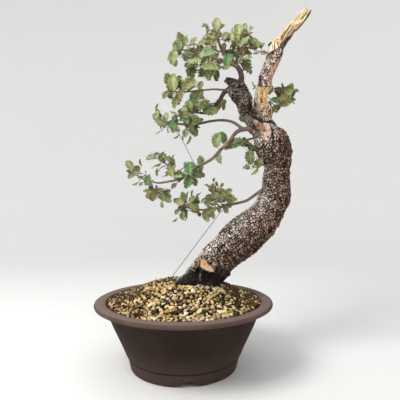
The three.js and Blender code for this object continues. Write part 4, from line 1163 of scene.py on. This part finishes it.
# under the name of its tone, a leaf stands where it shows: x and height of its middle, the way that its tip
# points in degrees, and its length. Edge leaves turn their side to the front. Smaller leaves fill the
# masses, each an oval of x, height, half width and half height
SPRAYS = {
    "crown_left": dict(
        light=0.92,
        masses=[(2, 404, 13, 8), (-9, 388, 8, 9), (4, 384, 13, 10), (10, 369, 11, 8)],
        stem=[(24, -6, 388), (10, -4, 393), (-3, -2, 395)],
        tips=[(-3, 4, 404), (12, 8, 402), (5, -18, 398), (-11, -6, 392), (-10, -16, 382), (5, -24, 379),
              (14, -32, 376), (11, 6, 371), (2, 30, 393), (15, 36, 390), (-6, 18, 398)],
        khaki=[(-5, 412, 110, 11), (24, 404, 30, 13)],
        sage=[(2, 408, 90, 11), (-10, 400, 100, 11), (14, 380, 345, 18), (10, 366, 260, 11),
              (8, 374, 170, 14)],
        olive=[(12, 408, 50, 10), (10, 367, 200, 14)],
        mint=[(9.5, 391, 155, 19), (-14, 391, 150, 9), (-4, 402, 110, 11)],
        lime=[(-14, 385, 250, 16)],
        pale=[(-17, 383, 205, 8)],
        green=[(-11, 378, 270, 9), (-8, 391, 0, 10), (-11, 397, 60, 9), (-6, 394, 250, 9)],
        deep=[(19, 393, 90, 13), (2, 385, 260, 10)],
        moss=[(8, 370, 185, 12)],
        dark=[(26, 378, 30, 13), (20, 399, 70, 10)]),
    "crown_front": dict(
        masses=[(29, 392, 10, 10), (35, 373, 11, 9), (24, 382, 7, 10)],
        stem=[(48, -10, 382), (38, -20, 379), (30, -28, 381)],
        tips=[(31, -36, 388), (34, -42, 374), (24, -32, 376), (36, -30, 366), (48, -34, 374)],
        mint=[(31, 391, 25, 21)],
        green=[(56, 384.5, 85, 17)],
        sage=[(34.5, 373.5, 15, 21)],
        dark=[(24, 383, 120, 11), (29, 380, 80, 10), (24, 369, 250, 10)]),
    "crown_top": dict(
        masses=[(40, 423, 7, 11), (35, 408, 11, 8), (53, 411, 5, 8), (26, 422, 6, 4)],
        stem=[(43, -2, 408), (40, 0, 417)],
        tips=[(40, 0, 422), (30, -8, 419), (46, 10, 415), (34, -14, 408), (50, -6, 408), (30, 10, 403),
              (38, 24, 407)],
        lime=[(41, 428, 90, 15), (39, 403, 250, 11)],
        grey=[(26, 424, 170, 9), (52, 413, 60, 10)],
        olive=[(47, 424, 40, 10)],
        sage=[(38, 409, 100, 13), (43, 414, 60, 11)],
        khaki=[(27, 404, 150, 13), (34, 411, 150, 10)]),
    "crown_right": dict(
        light=1.14,
        masses=[(70, 417, 13, 10), (67, 403, 11, 8)],
        stem=[(70, -4, 406), (73, 0, 413)],
        tips=[(70, -2, 417), (79, 8, 414), (64, -12, 410), (75, -16, 407), (60, 12, 407),
              (72, 24, 410)],
        lime=[(69, 421, 95, 14), (61, 413, 100, 12), (75, 414, 60, 13), (67, 409, 80, 11)],
        sage=[(72, 422, 85, 10), (68, 405, 100, 11)],
        pale=[(76, 407, 30, 10)],
        grey=[(77, 424, 85, 8), (85, 421, 45, 7)],
        khaki=[(81, 414, 45, 14)],
        dark=[(60, 406, 130, 10), (54, 410, 150, 10)],
        edge=[(61, 418, 120, 8), (77, 419, 90, 5), (62, 401, 40, 6)]),
    "crown_right_low": dict(
        light=1.14,
        masses=[(90, 401, 10, 7), (74, 392, 9, 9), (77, 381, 7, 6), (98, 392, 5, 3)],
        stem=[(68, -7, 396), (78, -2, 397), (86, 4, 397)],
        tips=[(94, 8, 400), (84, -4, 392), (78, -14, 387), (70, -22, 388), (82, 22, 398),
              (97, 14, 393)],
        dark=[(73, 397, 60, 9), (77, 401, 30, 7), (78, 380, 10, 7)],
        sage=[(83, 403, 290, 10), (100, 391, 0, 8), (82, 385, 10, 7)],
        deep=[(87, 398, 20, 8)],
        lime=[(93, 402, 80, 10)],
        olive=[(98, 402, 60, 8)],
        edge=[(85, 408, 310, 8), (91, 390, 0, 6), (75, 393, 80, 6), (74, 389, 100, 6),
              (79, 381, 0, 12)]),
    "crown_back": dict(
        masses=[(46, 392, 20, 8), (62, 384, 8, 8)],
        stem=[(69, -13, 371), (65, 6, 379), (55, 24, 388), (45, 36, 393)],
        tips=[(65, 34, 391), (50, 42, 396), (38, 46, 390), (55, 30, 379), (28, 42, 393), (72, 28, 387)],
        deep=[(64, 392, 60, 12), (45, 378, 200, 12), (26, 394, 150, 12)],
        dark=[(50, 398, 90, 12), (38, 388, 30, 13), (54, 378, 300, 11), (72, 388, 20, 11)]),
    "crown_low": dict(
        masses=[(30, 364, 10, 8), (53, 372, 6, 4)],
        stem=[(63, -11, 376), (54, -7, 374)],
        tips=[(44, 0, 370), (53, -28, 377), (34, -8, 367)],
        dark=[(22, 366, 270, 11), (41, 362, 265, 13)],
        olive=[(37, 366, 280, 11), (31, 362, 270, 11), (54, 372, 200, 10)]),
    "crown_under": dict(
        masses=[(79, 372, 7, 6)],
        stem=[(71, -13, 367), (77, -9, 371)],
        tips=[(80, -7, 371)],
        dark=[(79, 372, 320, 18)]),
    "thin_branch": dict(
        masses=[(-15, 353, 10, 9), (6, 351, 9, 8), (-19, 339, 9, 7), (-8, 333, 7, 9), (21, 351, 4, 5)],
        stem=[(24, -21, 344), (4, -26, 342), (-17, -29, 342)],
        tips=[(-14, -26, 351), (-21, -36, 346), (-20, -24, 339), (-8, -34, 335), (-10, -20, 332),
              (5, -22, 351), (0, -12, 347), (19, -26, 348)],
        olive=[(-20, 357, 110, 16), (21, 351, 80, 10), (-18, 340, 200, 11)],
        lime=[(-14, 355, 90, 19)],
        dark=[(-8, 354, 70, 16), (-1, 349, 70, 13), (-23, 337, 240, 10)],
        khaki=[(8, 354, 60, 20), (-5, 338, 250, 11), (-10, 329, 235, 16)]),
    "upper_inner": dict(
        masses=[(14, 331, 12, 11), (7, 321, 12, 6)],
        stem=[(20, 4, 315), (11, 8, 316), (5, 12, 319)],
        tips=[(13, 2, 330), (9, 14, 324), (21, -10, 328), (3, 20, 321), (17, 28, 321), (25, -4, 314)],
        mint=[(13, 336, 75, 15)],
        pale=[(7, 327, 100, 15), (15, 325, 60, 15), (0, 320, 150, 10)],
        sage=[(21, 337, 40, 11), (8, 320, 100, 10), (15, 317, 30, 9)],
        olive=[(25, 323, 20, 15)]),
    "upper_near": dict(
        masses=[(30, 325, 10, 8), (48, 327, 5, 8), (34, 317, 9, 5)],
        stem=[(38, -3, 324), (38, 4, 328)],
        tips=[(38, -14, 327), (46, 8, 327), (33, -16, 318), (28, 12, 323)],
        moss=[(34, 317, 340, 19)],
        sage=[(27, 328, 20, 12)],
        olive=[(31, 323, 40, 10)],
        khaki=[(47, 329, 60, 15), (44, 323, 240, 10)]),
    "middle_left": dict(
        masses=[(-27, 309, 11, 12), (-15, 300, 10, 10), (-34, 317, 4, 8)],
        stem=[(-22, 21, 304), (-30, 22, 306)],
        tips=[(-32, 22, 315), (-35, 20, 308), (-25, 28, 310), (-28, 14, 304), (-30, 22, 295),
              (-20, 12, 295), (-14, 32, 307), (-12, 6, 297), (-10, 20, 291)],
        green=[(-13, 296, 250, 11), (-11, 308, 60, 10), (-17, 301, 240, 10)],
        lime=[(-23, 311, 90, 11)],
        sage=[(-30, 303, 160, 13), (-34, 313, 70, 10)],
        edge=[(-34, 323, 80, 8), (-32, 291, 215, 11), (-21, 292, 280, 6), (-10, 285, 220, 8),
              (-13, 317, 150, 9)]),
    "middle_inner": dict(
        masses=[(5, 310, 14, 12), (7, 296, 13, 9), (16, 302, 7, 8)],
        stem=[(14, 16, 301), (7, 14, 309), (4, 12, 315)],
        tips=[(17, 4, 306), (2, 0, 312), (9, 0, 302), (5, 10, 293), (13, 22, 293), (2, 14, 287),
              (-1, 28, 314), (13, 34, 308)],
        pale=[(18, 305, 40, 15)],
        mint=[(2, 291, 80, 11), (5, 307, 90, 11)],
        sage=[(2, 314, 120, 10), (12, 304, 70, 10)],
        green=[(-2, 308, 200, 10)],
        olive=[(10, 298, 270, 10)],
        dark=[(-4, 315, 130, 10)],
        khaki=[(13, 292, 290, 14)],
        edge=[(6, 280, 260, 11), (-2, 283, 280, 6)]),
    "low_left_tip": dict(
        light=0.76,
        masses=[(-65, 243, 7, 8), (-45, 229, 6, 7)],
        stem=[(-43, -23, 229), (-52, -20, 233), (-61, -18, 237)],
        tips=[(-65, -16, 244), (-57, -20, 243), (-65, -12, 237), (-57, -26, 230), (-46, -36, 230),
              (-49, -24, 223), (-48, -8, 238), (-39, -12, 231)],
        lime=[(-69, 250, 125, 13), (-62, 244, 40, 7)],
        khaki=[(-67, 236, 215, 10)],
        dark=[(-58, 244, 60, 7)],
        green=[(-45, 230, 260, 13)],
        deep=[(-42, 221, 270, 9)],
        grey=[(-57, 234, 250, 5), (-55, 225, 220, 6)],
        edge=[(-55, 253, 110, 8), (-56, 239, 0, 8), (-62, 227, 200, 8), (-48, 241, 90, 4)]),
    "low_left_under": dict(
        light=0.76,
        masses=[(-43, 215, 9, 6), (-35, 210, 7, 8), (-25, 210, 7, 8)],
        stem=[(-35, -25, 224), (-35, -24, 217)],
        tips=[(-42, -30, 217), (-37, -22, 212), (-29, -16, 215), (-25, -24, 211), (-28, -28, 206)],
        khaki=[(-47, 216, 170, 10), (-39, 210, 260, 13)],
        sage=[(-31, 217, 30, 11), (-20, 206, 320, 10), (-28, 199, 260, 7)],
        lime=[(-27, 210, 290, 11)],
        edge=[(-23, 211, 80, 10)]),
    "low_left_upper": dict(
        light=0.76,
        masses=[(-16, 249, 4, 11), (-27, 259, 8, 4)],
        stem=[(-8, -30, 231), (-14, -25, 244), (-24, -21, 252)],
        tips=[(-38, -18, 258), (-27, -14, 258), (-18, -24, 255), (-33, -28, 250), (-15, -34, 240),
              (-28, -30, 234), (-35, -30, 237), (-24, -28, 236)],
        grey=[(-43, 259, 180, 12), (-20, 239, 60, 8)],
        dark=[(-36, 262, 200, 8), (-18, 257, 330, 8)],
        sage=[(-24, 258, 30, 12)],
        olive=[(-15, 253, 270, 10), (-19, 246, 100, 7), (-16, 241, 95, 11), (-13, 247, 60, 7)],
        lime=[(-20, 239, 140, 8)],
        edge=[(-13, 260, 60, 6), (-28, 262, 60, 10), (-34, 250, 205, 8), (-39, 247, 230, 6),
              (-34, 241, 95, 9)]),
    "low_left_inner": dict(
        masses=[(7, 247, 7, 8), (6, 229, 9, 6), (-4, 236, 7, 5)],
        stem=[(10, -31, 241), (7, -34, 236)],
        tips=[(8, -38, 244), (-3, -38, 235), (5, -34, 229), (13, -26, 230), (16, -42, 239),
              (21, -26, 252), (-8, -22, 228)],
        green=[(7, 246, 95, 17), (21, 255, 100, 13), (5, 227, 240, 14), (13, 228, 300, 11),
               (-5, 237, 120, 10)],
        mint=[(3, 249, 120, 10), (11, 246, 60, 10), (-4, 234, 200, 11)],
        lime=[(8, 241, 270, 10)],
        khaki=[(21, 246, 250, 8)],
        deep=[(18, 238, 350, 16), (-5, 231, 250, 7)],
        pale=[(-8, 236, 170, 10)],
        olive=[(0, 235, 30, 9)],
        grey=[(-13, 223, 230, 8)],
        edge=[(-2, 245, 50, 6), (-5, 242, 60, 4), (1, 241, 40, 5), (2, 239, 30, 4), (16, 248, 90, 5)]),
    "lowest_outer": dict(
        masses=[(-3, 205, 8, 8), (10, 203, 10, 9), (-1, 189, 7, 8), (17, 194, 7, 5)],
        stem=[(10, -14, 194), (1, -14, 197), (-5, -12, 198)],
        tips=[(-2, -22, 202), (2, -6, 206), (-7, -4, 196), (-4, -18, 191), (0, -10, 188),
              (10, -12, 208), (10, -28, 199), (10, 2, 191), (15, 0, 203)],
        lime=[(-6, 203, 160, 11)],
        sage=[(-1, 211, 110, 10), (10, 207, 60, 10), (-1, 185, 260, 11)],
        dark=[(-5, 194, 200, 8), (19, 187, 300, 6)],
        grey=[(-9, 190, 230, 8)],
        khaki=[(11, 196, 290, 9), (16, 193, 310, 9)],
        edge=[(4, 212, 90, 9), (11, 214, 70, 8), (18, 212, 60, 8), (-12, 180, 215, 6),
              (2, 181, 260, 5)]),
    "lowest_inner": dict(
        masses=[(40, 214, 10, 10), (53, 211, 8, 8), (31, 201, 10, 9), (35, 191, 9, 7), (53, 198, 7, 7),
                (62, 205, 6, 4)],
        stem=[(45, -11, 197), (40, -12, 202), (38, -12, 208)],
        tips=[(38, -10, 216), (47, -2, 216), (53, -14, 211), (58, -8, 206), (52, -18, 199),
              (38, -22, 195), (29, -12, 191), (30, -24, 205), (40, -26, 209), (27, 4, 203),
              (41, 14, 207)],
        olive=[(28, 185, 290, 13), (52, 213, 60, 11), (31, 205, 250, 11), (60, 206, 5, 13)],
        khaki=[(33, 191, 200, 13), (37, 222, 70, 9), (48, 216, 100, 9), (40, 212, 60, 9)],
        sage=[(32, 209, 160, 10)],
        grey=[(28, 224, 150, 5), (48, 224, 40, 5)],
        dark=[(38, 231, 80, 5), (41, 226, 110, 6), (33, 217, 160, 6), (56, 216, 55, 9),
              (44, 193, 270, 8), (52, 193, 270, 8)],
        deep=[(51, 205, 200, 8)],
        edge=[(24, 206, 60, 8), (38, 201, 225, 11)]),
    "right_of_trunk": dict(
        masses=[(130, 341, 11, 8), (126, 331, 10, 6), (116, 336, 6, 7), (108, 344, 4, 6),
                (117, 321, 7, 4)],
        stem=[(108, 10, 302), (112, 22, 317), (120, 23, 326), (126, 24, 334)],
        tips=[(120, 22, 340), (128, 30, 341), (133, 22, 337), (130, 16, 331), (114, 16, 332),
              (116, 16, 322), (91, 30, 345), (108, 32, 343), (108, 30, 324)],
        khaki=[(109, 345, 60, 10), (133, 341, 50, 13), (127, 334, 20, 13), (135, 331, 340, 13),
               (128, 327, 200, 13), (114, 319, 340, 10)],
        dark=[(117, 345, 135, 8), (126, 343, 80, 11), (137, 338, 350, 7), (123, 340, 100, 8),
              (120, 335, 160, 9), (107, 326, 95, 8), (141, 342, 10, 8)],
        olive=[(130, 346, 80, 8), (135, 347, 60, 10), (123, 329, 200, 10)],
        green=[(114, 332, 120, 11)],
        edge=[(125, 350, 130, 7), (87, 351, 130, 7), (88, 347, 250, 6)]),
    "fork": dict(
        masses=[(76, 306, 5, 4)],
        stem=[(88, 8, 296), (77, 12, 304)],
        tips=[(74, 12, 307), (78, 20, 305)],
        olive=[(73, 309, 120, 10)],
        dark=[(79, 307, 60, 8)]),
    "inner_upper": dict(
        masses=[(70, 277, 12, 6), (46, 285, 7, 8), (83, 272, 5, 6)],
        stem=[(91, 4, 284), (77, 4, 281), (63, 0, 275), (53, -4, 272)],
        tips=[(80, -8, 277), (71, 10, 277), (61, -6, 272), (47, -8, 279), (47, -10, 268),
              (56, 10, 274)],
        green=[(49, 285, 110, 13)],
        mint=[(62, 272, 200, 10), (71, 277, 345, 16)],
        sage=[(56, 271, 200, 11)],
        pale=[(42, 280, 250, 18), (45, 258, 260, 14)],
        dark=[(84, 272, 280, 10)],
        edge=[(79, 280, 25, 8)]),
    "inner_lower": dict(
        masses=[(83, 259, 6, 8), (92, 252, 5, 8)],
        stem=[(105, -2, 249), (93, -8, 251), (84, -9, 256)],
        tips=[(82, -12, 260), (78, -8, 250), (90, -18, 251), (87, -6, 245), (93, 4, 260)],
        dark=[(83, 259, 270, 16)],
        olive=[(92, 249, 200, 10)],
        grey=[(78, 247, 185, 9)],
        edge=[(95, 258, 245, 9), (88, 242, 215, 11), (91, 266, 325, 10)]),
}


def leaf_shape(number):
    """A leaf one unit long from the foot of its stalk at the origin, along X, with its upper face to +Z."""
    rows = LEAF_STATIONS + STALK_STATIONS
    width = random.uniform(0.26, 0.35)
    sharpness = 0.45 if number < SMOOTH_SHAPES else 1
    teeth = [sharpness * random.uniform(0.3, 0.65) for _ in range(2 * rows + 2)]
    fold, droop, wave = random.uniform(0, 0.7), random.uniform(-0.6, 0.3), random.uniform(0.04, 0.11)
    bm = bmesh.new()
    bmesh.ops.create_grid(bm, x_segments=rows, y_segments=4, size=1)
    uv = bm.loops.layers.uv.new("blade")
    spread = {}
    for corner in bm.verts:
        station = round((corner.co.x + 1) / 2 * rows)
        across = corner.co.y
        side = 1 if across > 0 else 0
        blade = (station - STALK_STATIONS) / LEAF_STATIONS
        if blade < 0:
            along, reach = STALK_SHARE * station / STALK_STATIONS, STALK_WIDTH
        else:
            tooth = (station % 2 == 1) and station < rows
            reach = width * math.sin(math.pi * min(1, 0.12 + 0.84 * blade)) ** 0.6 * (1 - 0.35 * blade ** 3)
            reach *= 1 + (teeth[2 * station + side] if tooth else -0.26 * sharpness) * abs(across) ** 3
            reach = 0 if station == rows else max(reach, STALK_WIDTH)
            along = STALK_SHARE + (1 - STALK_SHARE) * blade + (0.055 if tooth else -0.015) * abs(across) ** 3
        spread[corner] = (along, 0.5 + 0.5 * across)
        edge_wave = wave * math.sin(2.6 * station + 2 * side) * across ** 2
        lift = droop * along ** 2 * 0.5 + fold * abs(across) * reach + edge_wave
        corner.co = Vector((along, across * reach, lift))
    for face in bm.faces:
        for loop in face.loops:
            loop[uv].uv = spread[loop.vert]
    copy = bmesh.ops.duplicate(bm, geom=bm.faces[:])["geom"]
    for item in copy:
        if isinstance(item, bmesh.types.BMFace):
            item.normal_flip()
            item.material_index = 1
        elif isinstance(item, bmesh.types.BMVert) and not any(edge.is_boundary for edge in item.link_edges):
            item.co.z -= BLADE_THICKNESS
    bmesh.ops.remove_doubles(bm, verts=bm.verts, dist=1e-5)
    return mesh_from(bm, f"leaf_{number}")


random.seed(5)
leaf_meshes = [leaf_shape(number) for number in range(LEAF_SHAPES)]

leaf_veins, given, made = new_group("leaf_veins", {"Place": None}, ["Midrib", "Side Veins", "Margin"])
blade = add(leaf_veins, "SeparateXYZ", Vector=given["Place"]).outputs
off_middle = times(leaf_veins, times(leaf_veins, blade["Y"], 0.5, "SUBTRACT"), 0, "ABSOLUTE")
slant = times(leaf_veins, blade["X"], times(leaf_veins, off_middle, 0.28), "SUBTRACT")
comb = times(leaf_veins, times(leaf_veins, slant, 52), 0, "SINE")
feed(leaf_veins, made["Midrib"], ramp(leaf_veins, off_middle, 0.055, 0.015))
feed(leaf_veins, made["Side Veins"], ramp(leaf_veins, comb, 0.7, 1.0))
feed(leaf_veins, made["Margin"], ramp(leaf_veins, off_middle, 0.34, 0.5))


def leaf_material(name, wash, wash_share, **sockets):
    """One face of the leaves: each leaf's own tone under a wash, with patches of painted highlight and
    painted shade, lighter veins and a margin darkened as painted shade.
    """
    material, tree, shader, dry = dry_material(name, 300.0, 1800.0, **sockets)
    veins = place_group(tree, leaf_veins, Place=add(tree, "UVMap", {"uv_map": "blade"}).outputs["UV"])
    tone = add(tree, "Attribute", {"attribute_name": "tone"}).outputs["Color"]
    face = mix(tree, wash_share, tone, wash)
    # patches of painted highlight and painted shade lie across each leaf: a brightened lit tone and a dim
    # tone
    bright = add(tree, "HueSaturation", Value=1.6, Saturation=0.92, Color=face).outputs["Color"]
    lit = mix(tree, 0.2, bright, (214, 218, 152))
    dim = mix(tree, 0.4, face, (50, 52, 28))
    face = mix(tree, dry["Patches"], dim, mix(tree, 0.45, face, lit))
    face = coats(tree, face, (veins["Side Veins"], 0.16, lit), (veins["Margin"], 0.25, dim),
                 (veins["Midrib"], 0.6, lit))
    feed(tree, shader.inputs["Base Color"], face)
    lines = times(tree, veins["Midrib"], veins["Side Veins"], "MAXIMUM")
    relief = times(tree, times(tree, lines, -0.6), times(tree, dry["Grit"], 0.4), "ADD")
    bump(tree, shader, relief, 0.5, 0.25)
    return material


leaf_upper = leaf_material("leaf_upper", (148, 154, 100), 0.1, Roughness=0.5, Specular_IOR_Level=0.35)
leaf_under = leaf_material("leaf_under", (168, 174, 116), 0.5, Roughness=0.8, Specular_IOR_Level=0.2)
twig_skin = mottled("twig_skin", (260.0, 2000.0), (76, 58, 50), (142, 112, 94), (0.4, 0.3), (176, 160, 140),
                    Roughness=0.8, Specular_IOR_Level=0.25)
stalk_skin = mottled("stalk_skin", (300.0, 2000.0), (196, 168, 134), (168, 150, 104), Roughness=0.6)


def strayed(heading, amount):
    """A unit vector scattered round a heading."""
    return (heading.normalized() + Vector([random.uniform(-amount, amount) for _ in range(3)])).normalized()


def leaf_place(root, heading, facing, length):
    """Where a leaf lies: from its root along a heading, its upper face turned towards facing."""
    normal = (facing - heading * facing.dot(heading)).normalized()
    turn = Matrix((heading, normal.cross(heading), normal)).transposed().to_4x4()
    return Matrix.Translation(root) @ turn @ Matrix.Scale(length, 4)


def thinning(points, radii, step):
    """A smooth line of x, y, z and radius in metres that thins from the first radius to the last."""
    line = smooth_line([list(point) for point in points], step * MM)
    return np.hstack([line, np.linspace(*radii, len(line))[:, None] * MM])


def grown(stem, tips, masses, light=1, **leaves):
    """The meshes of one spray: a stem, shoots from it to the tips, and the leaves hung on them by stalks."""
    stem = thinning([from_sight(*point) for point in stem], STEM_RADII, 1.5)
    shoots = [stem]
    for tip in tips:
        end = from_sight(*tip)
        nearest = np.linalg.norm(stem[:, :3] - np.array(end), axis=1).argmin()
        start = Vector(stem[nearest, :3])
        if (end - start).length < 2 * MM:
            start = Vector(stem[max(0, nearest - 4), :3])
        bow = (end - start).cross(strayed(Vector((0, -1, 0.3)), 0.6)) * 0.12
        shoots.append(thinning((start, start.lerp(end, 0.5) + bow, end), SHOOT_RADII, 2))
    wood = np.vstack(shoots)[:, :3]
    stalks, places, tones = [], [[] for _ in range(LEAF_SHAPES)], [[] for _ in range(LEAF_SHAPES)]

    def hang(x, depth, height, angle, length, tone, own_light):
        """Hangs one leaf by a thin stalk on the nearest shoot."""
        turn = math.radians(angle)
        pitch = random.uniform(-0.4, 0.4)
        flat = math.cos(pitch)
        heading = Vector((math.cos(turn) * flat, math.sin(pitch), math.sin(turn) * flat))
        large = length > LARGE_LEAF
        facing = strayed(LEAVES_FACE, 0.25 if large else 0.45)
        if tone == "edge":
            facing = strayed(heading.cross(BEHIND), 0.45)
        full = length * nearness(depth) / (1 - STALK_SHARE) / flat * MM
        root = from_sight(x, depth, height) - heading * full * (1 + STALK_SHARE) / 2
        away = wood - np.array(root)
        cost = np.linalg.norm(away, axis=1) + 0.6 * np.maximum(0, away @ np.array(heading))
        hold = Vector(wood[cost.argmin()])
        sag = Vector((0, 0, -0.08)) * (root - hold).length
        stalk = (hold, hold.lerp(root, 0.5) + sag, root + heading * 0.1 * full)
        stalks.append(thinning(stalk, STALK_RADII, 2))
        shape = random.randrange(SMOOTH_SHAPES if large else LEAF_SHAPES)
        places[shape].append(leaf_place(root, heading, facing, full))
        # a leaf's tone is scaled by its own light and its spray's light: painted light and painted shade
        tones[shape].append(dimmed(LEAF_TONES[tone], own_light * random.uniform(0.88, 1.1) * light))

    def depth_at(x, height):
        """The depth of the shoot's end that shows nearest to a place."""
        return min(tips, key=lambda end: math.hypot(end[0] - x, end[2] - height))[1]

    for tone, hand_set in leaves.items():
        for x, height, angle, length in hand_set:
            depth = depth_at(x, height) + random.uniform(-4, 4) - 0.9 * max(0, length - 10)
            hang(x, depth, height, angle, length, tone, 1)
            # each leaf gets a smaller one behind it, dimmed as painted shade
            if tone != "edge":
                near_x = x + random.uniform(-1.5, 1.5)
                behind = depth + random.uniform(7, 22)
                near_height = height + random.uniform(-1.5, 1.5)
                hang(near_x, behind, near_height, angle + random.uniform(-50, 50), 0.72 * length, tone, 0.85)
    body_tones = [tone for tone, hand_set in leaves.items() for _ in hand_set if tone != "edge"]
    body_tones = [tone for tone in body_tones if tone in FILL_TONES] or body_tones
    for x, height, half_width, half_height in masses:
        for _ in range(round(math.pi * half_width * half_height / MASS_LEAF_AREA)):
            turn, reach = random.uniform(0, math.tau), math.sqrt(random.random()) * 0.9
            across, up = half_width * reach * math.cos(turn), half_height * reach * math.sin(turn)
            outward = math.degrees(math.atan2(up, across)) + random.gauss(0, 50)
            depth = depth_at(x + across, height + up) + random.uniform(2, 16)
            # the leaves of a mass come in lit and shaded copies of their tone, as painted light and shade
            own_light = random.choice((0.55, 0.9, 1.15, 1.35))
            length = random.uniform(6, 11)
            hang(x + across, depth, height + up, outward, length, random.choice(body_tones), own_light)

    meshes = [rods(shoots, "shoots", 6), rods(stalks, "stalks", 4)]
    meshes[0].materials.append(twig_skin)
    meshes[1].materials.append(stalk_skin)
    for template, leaf_places, leaf_tones in zip(leaf_meshes, places, tones):
        if leaf_places:
            meshes.append(copied(template, leaf_places, "leaves", leaf_tones))
            meshes[-1].materials.append(leaf_upper)
            meshes[-1].materials.append(leaf_under)
    return meshes


for number, (name, spray) in enumerate(SPRAYS.items()):
    random.seed(100 + number)
    piece = put(smoothed(joined(grown(**spray), f"leafy_{name}"), 75), f"leafy_{name}")
    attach(piece, "root")
    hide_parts(f"spray_{name}")
